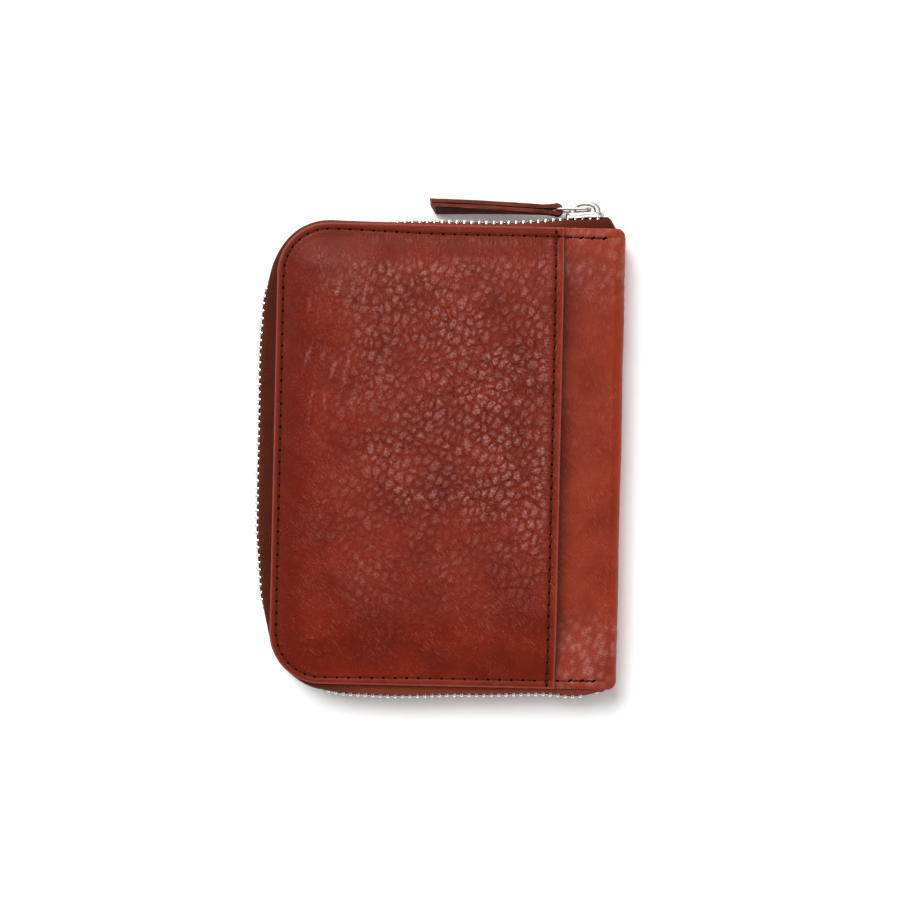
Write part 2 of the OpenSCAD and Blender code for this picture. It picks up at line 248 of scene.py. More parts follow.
def facing(s):
    """Direction out of the case at distance s along its three edges, in radians."""
    first = math.pi / 2 + (s - TOP_RUN) / CORNER_R
    second = math.pi + (s - LEFT_END) / CORNER_R
    left = np.full(s.shape, math.pi)
    return np.select(stretches(s), [left / 2, first, left, second], 1.5 * math.pi)


def route(s, d):
    """Points at distances s along the three edges, moved out of the case by d."""
    s, d = np.broadcast_arrays(np.asarray(s, float), np.asarray(d, float))
    a = facing(s)
    r = CORNER_R + d
    round_x, rise = corner_x + r * np.cos(a), r * np.sin(a)
    top_y, side_y = HALF_L + d, corner_y - (s - LEFT_START)
    top_x, bottom_x = zip_end_x - s, corner_x + s - BOTTOM_START
    x = np.select(stretches(s), [top_x, round_x, LEFT - d, round_x], bottom_x)
    y = np.select(stretches(s), [top_y, corner_y + rise, side_y, rise - corner_y], -top_y)
    return x, y


# ------------------------------------------------------------------ making meshes


def grid_faces(rows, columns, wrap=False, start=0):
    """Quads over a grid of points; wrap joins the last column to the first."""
    i = np.arange(rows - 1)[:, None] * columns
    j = np.arange(columns if wrap else columns - 1)[None, :]
    k = (j + 1) % columns
    quads = np.stack([i + j, i + k, i + columns + k, i + columns + j], -1)
    return (quads.reshape(-1, 4) + start).tolist()


def flow(x, y):
    """Coordinates across and along the long fine wrinkles, which lean over lower down."""
    lean_from, soft = 8, 15
    lean = soft * np.log1p(np.exp((lean_from - y) / soft))
    sway = 1.3 * soft_noise(x, y, 9, 43) + 0.5 * soft_noise(x, y, 3.5, 44)
    return points_at(x - 0.75 * lean + sway, y, 0)


def make(name, points, faces, material, slot, marks=None, rest=None, sharp=40):
    """A mesh object from points in millimetres. marks are named numbers for its material."""
    points = np.asarray(points, float).reshape(-1, 3)
    mesh = bpy.data.meshes.new(name)
    mesh.from_pydata((points * MM).tolist(), [], faces)
    mesh.validate()
    mesh.shade_smooth()
    mesh.set_sharp_from_angle(angle=math.radians(sharp))
    rest = points if rest is None else np.asarray(rest, float).reshape(-1, 3)
    for key, places in (("rest", rest), ("flow", flow(rest[:, 0], rest[:, 1]))):
        place = mesh.attributes.new(key, "FLOAT_VECTOR", "POINT")
        place.data.foreach_set("vector", places.astype(np.float32).ravel())
    for key, values in (marks or {}).items():
        mark = mesh.attributes.new(key, "FLOAT", "POINT")
        mark.data.foreach_set("value", np.asarray(values, np.float32).ravel())
    mesh.materials.append(material)
    piece = bpy.data.objects.new(name, mesh)
    bpy.context.scene.collection.objects.link(piece)
    return piece


def closed_sheet(outer, inner):
    """Points and faces of a closed sheet from two grids of points, outer side first."""
    rows, columns = outer.shape[:2]
    n = rows * columns
    faces = grid_faces(rows, columns)
    faces += [f[::-1] for f in grid_faces(rows, columns, start=n)]
    first = np.arange(columns)
    right = np.arange(1, rows) * columns + columns - 1
    last = (rows - 1) * columns + np.arange(columns - 2, -1, -1)
    left = np.arange(rows - 2, 0, -1) * columns
    rim = np.concatenate([first, right, last, left])
    after = np.roll(rim, -1)
    faces += np.stack([rim, rim + n, after + n, after], -1).tolist()
    return np.concatenate([outer.reshape(-1, 3), inner.reshape(-1, 3)]), faces


def close_steps(length, step, fine=0.27, fine_to=FINE_BORDER):
    """Places from 0 to length, close together near both ends."""
    edge = np.concatenate([[0, 0.04, 0.12, 0.25, 0.42], np.arange(0.65, fine_to, fine)])
    middle = np.linspace(fine_to, length - fine_to, int((length - 2 * fine_to) / step))
    return np.concatenate([edge, middle, length - edge[::-1]])


def edge_drop(u, half):
    """How far a rounded edge falls at distance u in from it."""
    t = 1 - np.clip(u / half, 0, 1)
    return 0.8 * half * (1 - np.sqrt(1 - t * t))


def sewn_border(u, inset, swell=0.13):
    """Swell of a turned edge on both sides of its seam, and the dent along the seam."""
    outside = swell * np.sin(np.pi * np.clip(u / inset, 0, 1))
    inside = 0.45 * swell * hump(u, inset + 1.5, 0.9)
    return outside + inside - SEAM_DENT * hump(u, inset, 0.42)


# ------------------------------------------------------------------ relief of the leather


def grain_mask(x, y):
    """Where on the slip pocket the leather is pebbled: its middle and top, not its borders."""
    across = 0.30 + 0.70 * ramp_up(x, -50, -20)
    along = 0.28 + 0.72 * ramp_up(y, -64, -5)
    patch = 0.86 + 0.40 * soft_noise(x, y, 14, 41) + 0.20 * soft_noise(x, y, 5, 42)
    edges = ramp_up(border_distance(x, y), 7, 16) * ramp_up(MOUTH_X - x, 3, 6)
    return np.clip(edges * across * along * patch, 0, 1)


def dome_field(x, y):
    """Large domes with small ones on and between them, pulled about a little."""
    wx = x + 0.9 * soft_noise(x, y, 5, 11) + 0.3 * soft_noise(x, y, 1.9, 12)
    wy = y + 0.9 * soft_noise(x, y, 5, 13) + 0.3 * soft_noise(x, y, 1.9, 14)
    a, b = turned(wx, wy, 62, 1.35)
    return np.clip(0.80 * cobbles(a, b, 2.8, 3) + 0.30 * cobbles(a + 40, b + 13, 1.4, 5), 0, 1)


def ridge_field(x, y):
    """Upright ridges side by side next to the domes, near the top left of the pocket."""
    _, across = turned(x, y, 78, 1.0)
    across = across + 1.1 * soft_noise(x, y, 10, 61) + 0.35 * soft_noise(x, y, 3, 62)
    ridges = np.clip(np.sin(across * 2 * math.pi / 4.3), 0, 1)
    where = ramp_up(x, -54, -46) * ramp_up(-x, 8, 30) * ramp_up(y, 0, 24) * ramp_up(-y, -67, -55)
    broken = ramp_up(soft_noise(x, y, 5.5, 65), -0.7, 0.6)
    return np.clip(where * broken * ridges * (0.45 + 0.55 * cobbles(x, y, 2.0, 67)), 0, 1)


def leather_relief(x, y):
    """Height of the grained leather: domes and ridges in their places, soft folds elsewhere."""
    folds = 0.05 * soft_noise(*turned(x, y, -48, 3.2), 2.3, 31)
    waves = 0.20 * soft_noise(x, y, 16, 33) + 0.07 * soft_noise(x, y, 6.5, 35)
    waves = waves * ramp_up(border_distance(x, y), 3, 9)
    return grain_mask(x, y) * 0.28 * dome_field(x, y) + 0.18 * ridge_field(x, y) + folds + waves


def cover_ends(y):
    """Near its two ends the covers' leather is grained too, and gets a painted sheen."""
    return ramp_up(np.abs(y), 46, 62)


def cover_domes(x, y):
    return domes(*turned(x, y, 70, 1.5), 2.7, 51)


def cover_relief(x, y):
    """The smoother leather of the covers and spine."""
    grained = (0.05 + 0.10 * cover_ends(y)) * cover_domes(x, y)
    return grained + 0.10 * soft_noise(x, y, 15, 53) + 0.04 * soft_noise(x, y, 5, 55)


def pocket_smooth_height(x, y):
    """Height of the slip pocket's outer face without its grain."""
    rise = POCKET_TOP - TOP_Z - PANEL_T
    from_left, from_end = x - LEFT, HALF_L - np.abs(y)
    across = 0.45 * ramp_up(from_left, 2.5, 15) + 0.55 * ramp_up(from_left, 3, 34)
    along = 0.6 * ramp_up(from_end, 2.5, 16) + 0.4 * ramp_up(from_end, 2.5, 26)
    return TOP_Z + PANEL_T + rise * across * along * ramp_up(border_distance(x, y), 1.5, 6)


def pocket_height(x, y):
    """Height of the slip pocket's outer face, with its grain, border seam and hem."""
    u = border_distance(x, y)
    hem = MOUTH_X - x
    z = pocket_smooth_height(x, y) + leather_relief(x, y) * ramp_up(hem, 0.3, 3)
    z = z + sewn_border(u, seam_inset(x, y)) + sewn_border(hem, HEM_SEAM, 0.12)
    return z - edge_drop(u, PANEL_T / 2) - edge_drop(hem, 0.6)


def cover_height(x, y, u, inset, seam=1.0):
    """Height of a cover's outer face above its flat; x is measured along the leather."""
    h = seam * sewn_border(u, inset) + cover_relief(x, y) * ramp_up(u, 0.2, 5)
    return np.minimum(h - edge_drop(u, LEATHER_T / 2), COVER_SWELL)


# ------------------------------------------------------------------ material nodes


class Shader:
    """A material whose nodes are written as short calls. Its place is in millimetres."""

    def __init__(self, name, meshed=True):
        self.material = bpy.data.materials.new(name)
        self.material.use_nodes = True
        self.tree = self.material.node_tree
        self.tree.nodes.clear()
        self.surface = self.add("ShaderNodeBsdfPrincipled")
        output = self.add("ShaderNodeOutputMaterial")
        self.tree.links.new(self.surface.outputs["BSDF"], output.inputs["Surface"])
        if meshed:
            self.place = self.mark("rest", "Vector")
        else:
            coordinates = self.add("ShaderNodeTexCoord")
            self.place = self.scaled(coordinates.outputs["Object"], (1 / MM,) * 3)

    def add(self, kind, **settings):
        node = self.tree.nodes.new(kind)
        for key, value in settings.items():
            setattr(node, key, value)
        return node

    def feed(self, target, value):
        if isinstance(value, bpy.types.NodeSocket):
            self.tree.links.new(value, target)
        else:
            target.default_value = value

    def texture(self, kind, output, numbers, place, **settings):
        node = self.add(kind, **settings)
        for key, number in numbers.items():
            node.inputs[key].default_value = number
        self.feed(node.inputs["Vector"], place or self.place)
        return node.outputs[output]

    def mark(self, name, output="Fac"):
        return self.add("ShaderNodeAttribute", attribute_name=name).outputs[output]

    def scaled(self, place, scale):
        node = self.add("ShaderNodeVectorMath", operation="MULTIPLY")
        self.feed(node.inputs[0], place)
        self.feed(node.inputs[1], scale)
        return node.outputs[0]

    def stretched(self, scale, degrees=0.0):
        """The place, turned about Z and scaled along each axis."""
        node = self.add("ShaderNodeMapping", vector_type="POINT")
        self.feed(node.inputs["Rotation"], (0, 0, math.radians(degrees)))
        self.feed(node.inputs["Vector"], self.place)
        return self.scaled(node.outputs["Vector"], scale)

    def noise(self, scale, detail=3.0, rough=0.5, place=None, distortion=0.0):
        numbers = {"Scale": scale, "Detail": detail, "Roughness": rough, "Distortion": distortion}
        return self.texture("ShaderNodeTexNoise", "Fac", numbers, place)

    def cells(self, scale, feature, place=None):
        numbers = {"Scale": scale}
        return self.texture("ShaderNodeTexVoronoi", "Distance", numbers, place, feature=feature)

    def wave(self, scale, direction, distortion):
        numbers = {"Scale": scale, "Distortion": distortion}
        return self.texture("ShaderNodeTexWave", "Fac", numbers, None, bands_direction=direction)

    def math(self, operation, a, b, clamp=False):
        node = self.add("ShaderNodeMath", operation=operation, use_clamp=clamp)
        self.feed(node.inputs[0], a)
        self.feed(node.inputs[1], b)
        return node.outputs[0]

    def times(self, a, b, clamp=False):
        return self.math("MULTIPLY", a, b, clamp)

    def less(self, a, b, clamp=False):
        return self.math("SUBTRACT", a, b, clamp)

    def spread(self, value, low, high, out_low=0.0, out_high=1.0):
        """value from low to high, mapped to out_low to out_high and kept between them."""
        node = self.add("ShaderNodeMapRange", interpolation_type="SMOOTHSTEP")
        keys = ("Value", "From Min", "From Max", "To Min", "To Max")
        for key, number in zip(keys, (value, low, high, out_low, out_high)):
            self.feed(node.inputs[key], number)
        return node.outputs["Result"]

    def mix(self, share, a, b):
        node = self.add("ShaderNodeMix", data_type="RGBA")
        self.feed(node.inputs["Factor"], share)
        colours = [s for s in node.inputs if s.type == "RGBA"]
        self.feed(colours[0], a)
        self.feed(colours[1], b)
        return [s for s in node.outputs if s.type == "RGBA"][0]

    def layered(self, colour, layers):
        """Colours laid over colour one after another, each by its share."""
        for share, over in layers:
            colour = self.mix(share, colour, over)
        return colour

    def bumps(self, *reliefs):
        """Each relief is a height and its depth in millimetres."""
        normal = None
        for height, depth in reliefs:
            node = self.add("ShaderNodeBump")
            self.feed(node.inputs["Distance"], depth * MM)
            self.feed(node.inputs["Height"], height)
            if normal is not None:
                self.feed(node.inputs["Normal"], normal)
            normal = node.outputs["Normal"]
        return normal

    def finish(self, colour, roughness, normal=None, **numbers):
        self.feed(self.surface.inputs["Base Color"], colour)
        self.feed(self.surface.inputs["Roughness"], roughness)
        if normal is not None:
            self.feed(self.surface.inputs["Normal"], normal)
        for key, value in numbers.items():
            self.surface.inputs[key.replace("_", " ")].default_value = value
        return self.material


def rgb(red, green, blue):
    """A colour given by its 0 to 255 display values, as the shader's linear colour."""
    values = [c / 255 for c in (red, green, blue)]
    linear = [v / 12.92 if v <= 0.04045 else ((v + 0.055) / 1.055) ** 2.4 for v in values]
    return (*linear, 1.0)


def darker(colour, share):
    return tuple(share * c for c in colour[:3]) + (1.0,)


PAINTED_HIGHLIGHT = rgb(192, 146, 143)  # the pale violet tint of painted highlights on the dye


def make_leather(name, deep, middle, light, gloss, fine=1.0, streaked=0.0):
    """Aniline leather: uneven dye; glossy domes and ridges with a painted highlight; matt cracks
    and creases darkened with painted shade, and painted shade where it is marked shaded; fine
    wrinkles with painted shade in their valleys and a painted highlight on their plates; painted
    highlights on gathers and glints; rubbed edges that are partly wear and partly a painted
    highlight, with a painted highlight line at the very edge.
    """
    s = Shader(name)
    flow_place = s.mark("flow", "Vector")
    clouds = s.noise(0.06, 3.0, 0.5)
    mottle = s.noise(0.30, 5.0, 0.6, distortion=0.4)
    specks = s.noise(2.2, 5.0, 0.8)

    dashes = s.noise(2.4, 4.0, 0.7, s.stretched((0.45, 1.3, 1.0)))
    sparkle = s.spread(dashes, 0.38, 0.60, 0.12, 1.0)
    # Painted highlight: the shine on the domes and ridges, and at the covers' ends, is painted into
    # the colour.
    shine = s.times(s.spread(s.mark("dome"), 0.05, 0.90), sparkle)
    fine_dashes = s.noise(4.0, 2.0, 0.6, s.stretched((0.5, 1.2, 1.0)))
    here_and_there = s.spread(s.noise(0.12, 2.0, 0.5), 0.40, 0.60, 0.1, 0.4)
    glints = s.times(s.spread(fine_dashes, 0.60, 0.72), here_and_there)

    wrinkled = s.times(s.mark("wrinkled"), s.spread(s.noise(0.10, 3.0, 0.6), 0.32, 0.62))
    plates = s.cells(1.0, "DISTANCE_TO_EDGE", s.scaled(flow_place, (0.80, 0.34, 1.0)))
    # Painted shade in the valleys of the wrinkle network, and a painted highlight on its raised
    # plates.
    valley = s.times(s.less(1.0, s.spread(plates, 0.01, 0.22)), wrinkled)
    raised = s.times(s.spread(plates, 0.12, 0.34), wrinkled)
    # Painted shade: the cracks between the domes and the creases of the wrinkles are darkened.
    cracks = s.cells(0.85, "DISTANCE_TO_EDGE", s.stretched((0.75, 1.0, 1.0), 62))
    crack = s.times(s.spread(cracks, 0.0, 0.11, 1.0, 0.0), s.mark("grain"))
    creases = s.cells(0.19, "DISTANCE_TO_EDGE", flow_place)
    crease = s.times(s.spread(creases, 0.0, 0.075, 1.0, 0.0), s.mark("creased"))
    crease = s.times(crease, s.spread(s.noise(0.22, 3.0, 0.6), 0.46, 0.58))
    across = s.spread(s.noise(1.0, 2.0, 0.5, s.stretched((1.5, 0.12, 1.0))), 0.45, 0.60)
    along = s.spread(s.noise(1.0, 2.0, 0.5, s.stretched((0.12, 1.7, 1.0))), 0.45, 0.60)
    gathers = s.times(across, s.mark("gather_y"))
    gathers = s.math("ADD", gathers, s.times(along, s.mark("gather_x")))

    colour = s.layered(
        deep,
        (
            (s.spread(clouds, 0.28, 0.66), middle),
            (s.spread(mottle, 0.50, 0.85, 0.0, 0.35), light),
            (s.spread(specks, 0.50, 0.70, 0.0, 0.40), deep),
            (s.spread(specks, 0.30, 0.46, 0.22, 0.0), light),
            (s.times(s.mark("shaded"), 0.90), deep),
            # painted highlight on the domes and ridges
            (s.times(shine, 0.54), PAINTED_HIGHLIGHT),
            # painted shade in the wrinkles' valleys, painted highlight on their plates
            (s.times(valley, 0.20), deep),
            (s.times(s.times(raised, sparkle), 0.16), PAINTED_HIGHLIGHT),
            (glints, PAINTED_HIGHLIGHT),
            # painted shade in the cracks and creases
            (s.times(crack, 0.55), darker(deep, 0.5)),
            (s.times(crease, 0.58), darker(deep, 0.6)),
            # lighter where rubbed: partly wear, partly a painted highlight
            (s.times(s.mark("rubbed"), 0.7, True), light),
            # painted highlight line at the very edge
            (s.times(s.mark("edge"), 0.22), PAINTED_HIGHLIGHT),
        ),
    )
    reliefs = [
        (s.noise(3.6, 4.0, 0.6), 0.030 * fine),
        (s.cells(2.1, "SMOOTH_F1"), 0.035 * fine),
        (s.less(1.0, crack), 0.03),
        (gathers, 0.10),
        (s.less(1.0, valley), 0.06),
        (s.less(1.0, crease), 0.07),
    ]
    if streaked:
        streaks = s.noise(1.0, 4.0, 0.65, s.scaled(s.place, (0.10, 2.4, 2.4)))
        pale = s.spread(streaks, 0.52, 0.72, 0.0, streaked)
        dark = s.spread(streaks, 0.34, 0.48, streaked, 0.0)
        colour = s.layered(colour, ((pale, light), (dark, darker(deep, 0.4))))
        reliefs.append((streaks, 0.25))
    # Painted highlight on the gathers beside the seams.
    colour = s.mix(s.times(gathers, 0.10), colour, PAINTED_HIGHLIGHT)
    dull = s.spread(s.noise(0.8, 4.0, 0.65), 0.3, 0.75, gloss - 0.03, gloss + 0.08)
    roughness = s.less(dull, s.times(shine, 0.16))
    roughness = s.less(roughness, s.times(raised, 0.08), True)
    return s.finish(colour, roughness, s.bumps(*reliefs), Specular_IOR_Level=0.18)


def make_woven(name, dark, light, pitch, sheen, paler_colour=None):
    """Cloth or tape whose threads run along and across its own place coordinates."""
    s = Shader(name)
    threads = 1 / (math.pi * pitch)
    weave = s.times(s.wave(threads, "X", 0.6), s.wave(threads, "Y", 0.6))
    fuzz = s.noise(2.6, 4.0, 0.75)
    share = s.math("ADD", s.times(weave, 0.55), s.times(s.noise(0.25, 4.0, 0.6), 0.55))
    colour = s.mix(share, dark, light)
    # Where marked, the colour turns paler: along the tape's bottom run this is painted light.
    if paler_colour:
        tone_and_painted_light = s.times(s.mark("tone_and_painted_light"), 0.8)
        deeper, paler = s.spread(fuzz, 0.45, 0.70, 0.0, 0.55), s.spread(fuzz, 0.30, 0.45, 0.35, 0.0)
        colour = s.layered(colour, ((tone_and_painted_light, paler_colour), (deeper, dark), (paler, light)))
    numbers = {"Sheen_Weight": sheen, "Sheen_Roughness": 0.5, "Specular_IOR_Level": 0.2}
    return s.finish(colour, 0.78, s.bumps((weave, 0.07), (fuzz, 0.03)), **numbers)


def make_metal(name, tint, smooth, dull):
    """Plated metal, smeared between two roughnesses and finely scratched."""
    s = Shader(name)
    smears = s.noise(0.8, 4.0, 0.6)
    hairs = s.noise(1.0, 3.0, 0.6, s.stretched((0.6, 6.0, 6.0)))
    colour = s.mix(s.spread(smears, 0.3, 0.8), tint, darker(tint, 0.86))
    roughness = s.spread(smears, 0.3, 0.75, smooth, dull)
    return s.finish(colour, roughness, s.bumps((hairs, 0.012)), Metallic=1.0)


def make_thread():
    s = Shader("waxed_thread")
    twist = s.wave(1.6, "DIAGONAL", 0.4)
    fuzz = s.spread(s.noise(5.0, 3.0, 0.6), 0.4, 0.8, 0.0, 0.5)
    colour = s.layered(rgb(48, 24, 8), ((twist, rgb(104, 62, 28)), (fuzz, rgb(70, 40, 22))))
    return s.finish(colour, 0.7, s.bumps((twist, 0.06)), Specular_IOR_Level=0.12)


# Needle holes: a near-black material that paints the shade inside each hole.
def make_hole_shade():
    s = Shader("needle_hole_shade")
    mottle = s.noise(4.0, 2.0, 0.5)
    colour = s.mix(mottle, rgb(12, 6, 5), rgb(34, 14, 10))
    return s.finish(colour, 0.95, s.bumps((mottle, 0.03)), IOR=1.1)


def make_board():
    s = Shader("grey_board", meshed=False)
    pulp = s.noise(1.4, 6.0, 0.7)
    colour = s.mix(s.spread(pulp, 0.35, 0.7), rgb(128, 120, 106), rgb(168, 158, 140))
    colour = s.mix(s.times(s.wave(3.0, "Z", 1.5), 0.2), colour, rgb(104, 96, 84))
    return s.finish(colour, 0.92, s.bumps((pulp, 0.05)), IOR=1.4)


cover_leather = make_leather(
    "cover_leather", rgb(122, 40, 17), rgb(140, 53, 26), rgb(172, 84, 50), gloss=0.38
)
panel_leather = make_leather(
    "panel_leather", rgb(107, 31, 11), rgb(125, 41, 18), rgb(152, 64, 38), gloss=0.38
)
pull_leather = make_leather(
    "pull_leather", rgb(64, 24, 14), rgb(106, 46, 30), rgb(156, 84, 62), gloss=0.48, streaked=0.8
)
pocket_leather = make_leather(
    "pocket_leather", rgb(98, 37, 19), rgb(112, 44, 24), rgb(138, 62, 38), gloss=0.42, fine=0.7
)
tape_cloth = make_woven(
    "tape_cloth", rgb(60, 22, 8), rgb(116, 50, 26), pitch=0.5, sheen=0.05, paler_colour=rgb(150, 76, 58)
)
lining_cloth = make_woven(
    "lining_cloth", rgb(38, 22, 16), rgb(72, 45, 33), pitch=0.42, sheen=0.15
)
polished = make_metal("polished_nickel", rgb(238, 236, 232), smooth=0.22, dull=0.36)
satin = make_metal("satin_nickel", rgb(204, 200, 195), smooth=0.32, dull=0.46)
thread = make_thread()
hole_shade = make_hole_shade()
grey_board = make_board()


# ------------------------------------------------------------------ leather panels


# Named numbers for the leather's material. The sheen on the domes and the edge line are painted
# highlights, the rubbed edges are partly wear and partly a painted highlight, and shaded is painted
# shade.
MARKS = (
    "grain", "dome", "rubbed", "edge", "wrinkled", "creased", "shaded", "gather_x", "gather_y"
)


def even_marks(shape, **values):
    """The leather's named numbers over a grid: those not given are zero."""
    return {k: np.broadcast_to(values.get(k, 0.0), shape).ravel() for k in MARKS}


def doubled(marks):
    """The same numbers for the inner side of a sheet."""
    return {k: np.concatenate([v, v]) for k, v in marks.items()}


def make_slip_pocket():
    """The outer panel: puffed over the pocket, sewn down on three sides, hemmed mouth."""
    step, gap = 0.4, 0.02
    width = MOUTH_X - LEFT
    f = close_steps(width, step) / width
    y = close_steps(2 * HALF_L, step)[:, None] - HALF_L
    x0 = left_edge(y)
    x, y = np.broadcast_arrays(x0 + f * (MOUTH_X - x0), y)
    u, hem = border_distance(x, y), MOUTH_X - x
    thick = PANEL_T + HEM_EXTRA_T * ramp_up(-hem, -6, -4)
    under = pocket_smooth_height(x, y) - thick + edge_drop(u, PANEL_T / 2) + edge_drop(hem, 0.75)
    outer = points_at(x, y, pocket_height(x, y))
    inner = points_at(x, y, np.maximum(under, TOP_Z + gap))
    points, faces = closed_sheet(outer, inner)

    inset = seam_inset(x, y)
    mask = grain_mask(x, y)
    marks = even_marks(
        x.shape,
        grain=mask,
        # painted highlight on the domes and ridges
        dome=np.maximum(mask * dome_field(x, y), 0.95 * ridge_field(x, y)),
        rubbed=0.25 * ramp_up(-u, -1.0, -0.3)
        + 0.6 * ramp_up(-hem, -1.8, -0.3)
        # Lighter at the rim and the hem: partly wear, partly a painted highlight line.
        + 0.10 * hump(u, 0.5 * inset, 0.8),
        # a painted highlight line along the rim and the hem's edge
        edge=np.maximum(hump(u, 0.35, 0.25), hump(hem, 0.35, 0.25)),
        wrinkled=ramp_up(u, 5, 12) * (1 - 0.75 * mask),
        creased=ramp_up(mask, 0.45, 0.95),
        shaded=np.maximum(ramp_up(LEFT - x, -17, -6), 0.7 * ramp_up(y - HALF_L, -13, -5)),
        gather_x=hump(hem - HEM_SEAM, 2.0, 1.3) * ramp_up(y, -50, -30),
        gather_y=hump(HALF_L - y - inset, 2.4, 1.3) * ramp_up(x, -34, -20),
    )
    piece = make(
        "slip_pocket_panel", points, faces, panel_leather, "cover_leather", doubled(marks)
    )
    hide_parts("slip_pocket")
    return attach(piece, "front")


# Distance x along the front's leather from the case's middle to the middle of the spine.
UNROLLED = RIGHT - SHOULDER + SHOULDER * math.pi / 2 + TOP_Z - SHOULDER - MID_Z


def bend_columns(x_end, z_top, rx, rz):
    """Places and outward directions round the shoulder and down to the spine's middle."""
    a = np.radians(np.linspace(90, 0, 15)[1:])
    nx, nz = np.cos(a) / rx, np.sin(a) / rz
    size = np.hypot(nx, nz)
    down = np.linspace(z_top - rz, MID_Z, 9)[1:]
    x = np.concatenate([x_end + rx * np.cos(a), np.full(down.shape, x_end + rx)])
    z = np.concatenate([z_top - rz + rz * np.sin(a), down])
    nx = np.concatenate([nx / size, np.ones(down.shape)])
    nz = np.concatenate([nz / size, np.zeros(down.shape)])
    return x, z, nx, nz


def wrapped_half(x_end, z_top, rx, rz, inset, step):
    """Grid of a half case's skin: flat from the rounded left edge, then down the spine.

    Gives places, outward directions, distances in from the border, and x along the skin.
    """
    width = x_end - LEFT - inset
    before_bend = width - FINE_BORDER
    f = close_steps(width, step)
    f = f[: np.searchsorted(f, before_bend)]
    f = np.concatenate([f, np.linspace(before_bend, width, 8)]) / width
    bend_x, bend_z, bend_nx, bend_nz = bend_columns(x_end, z_top, rx, rz)
    half = HALF_L - inset
    v = close_steps(2 * half, step)[:, None] - half
    shape = (len(v), len(f) + len(bend_x))

    def row(flat_value, bent):
        flat = np.full(f.shape, flat_value)
        return np.broadcast_to(np.concatenate([flat, bent]), shape)

    x0 = left_edge(v, inset)
    x = row(0.0, bend_x).copy()
    x[:, : len(f)] = x0 + f * (x_end - x0)
    ends = half_length(x, inset)
    y = v * ends / half
    u = ends - np.abs(y)
    flat = np.arange(shape[1])[None, :] < len(f)
    u = np.where(flat, np.minimum(border_distance(x, y, inset), u), u)
    steps = np.hypot(np.diff(bend_x, prepend=x_end), np.diff(bend_z, prepend=z_top))
    unrolled = np.where(flat, x, x_end + row(0.0, np.cumsum(steps)))
    return x, y, row(z_top, bend_z), row(0.0, bend_nx), row(1.0, bend_nz), u, unrolled


def mirrored(points, faces, back):
    """The back half is the front half's mirror image about the middle of the case."""
    if not back:
        return points, faces
    points = points * np.array([1, 1, -1]) + np.array([0, 0, 2 * MID_Z])
    return points, [f[::-1] for f in faces]


def bend_over_spine(piece):
    """Bakes the piece's place into its mesh; it is not set to follow its cover or the spine."""
    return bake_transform(piece)


def make_cover(body, back):
    """One half's leather, which goes on round its shoulder to the middle of the spine."""
    step = 0.6 if back else 0.75
    x, y, z, nx, nz, u, unrolled = wrapped_half(
        RIGHT - SHOULDER, TOP_Z, SHOULDER, SHOULDER, 0, step
    )
    place_x = 2 * UNROLLED - unrolled if back else unrolled
    seam = ramp_up(RIGHT - 1.0 - x, 0, 4)
    h = cover_height(place_x, y, u, seam_inset(x, y), seam)
    t = LEATHER_T - edge_drop(u, LEATHER_T / 2)
    outer = points_at(x + nx * h, y, z + nz * h)
    inner = points_at(x - nx * t, y, z - nz * t)
    points, faces = mirrored(*closed_sheet(outer, inner), back)
    rest = points_at(place_x, y, 0).reshape(-1, 3)
    rest = np.concatenate([rest, rest + [0, 0, 2]])

    # Lighter at the rim and along the spine's shoulder: partly wear, partly a painted highlight on
    # the shoulder.
    rubbed = 0.3 * ramp_up(-u, -1.0, 0) + 0.45 * hump(unrolled, RIGHT + 0.5, 3.5)
    rubbed = rubbed + 0.12 * soft_noise(unrolled, y, 9, 57)
    # The covers get a painted sheen, strongest on the grained domes at their two ends.
    ends = cover_ends(y) * (0.65 + 0.35 * soft_noise(place_x, y, 7, 59))
    marks = even_marks(
        x.shape,
        grain=0.10,
        dome=0.12 + ends * (0.20 + 0.66 * cover_domes(place_x, y)),
        rubbed=np.clip(rubbed, 0, 1),
        wrinkled=0.5,
    )
    name = f"{body}_leather"
    piece = make(name, points, faces, cover_leather, "cover_leather", doubled(marks), rest)
    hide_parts(*(["back_cover", "spine_cover"] if back else ["front_cover"]))
    return bend_over_spine(piece)


def make_lining(body, back):
    """Woven lining of one half, sewn in at the borders and carried into the spine."""
    bend_x, bend_z = 3.8, 3.0
    x, y, z, nx, nz, u, unrolled = wrapped_half(
        RIGHT - 5.0, LINING_Z, bend_x, bend_z, LINING_INSET, step=1.6
    )
    quilt = 0.05 * soft_noise(x, y, 9, 71) + 0.03 * soft_noise(x, y, 3.5, 73)
    depth = LINING_T + quilt * ramp_up(u, 0, 3) - edge_drop(u, LINING_T / 2)
    outer = points_at(x, y, z)
    inner = points_at(x - nx * depth, y, z - nz * depth)
    points, faces = mirrored(*closed_sheet(outer, inner), back)
    rest = points_at(unrolled, y, 0).reshape(-1, 3)
    rest = np.concatenate([rest, rest])
    piece = make(f"{body}_lining_cloth", points, faces, lining_cloth, "lining", None, rest)
    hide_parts(*(["back_lining", "spine_lining"] if back else ["front_lining"]))
    return bend_over_spine(piece)


def panel_distance(x, y, low, high, radii):
    """Distance in from the edge of a rectangle with rounded left and right corners."""
    end = np.minimum(y - low[1], high[1] - y)
    d = np.minimum(np.minimum(x - low[0], high[0] - x), end)
    for r, side in zip(radii, (x - low[0], high[0] - x)):
        corner = r - np.hypot(r - side, r - end)
        d = np.where((side < r) & (end < r), corner, d)
    return d


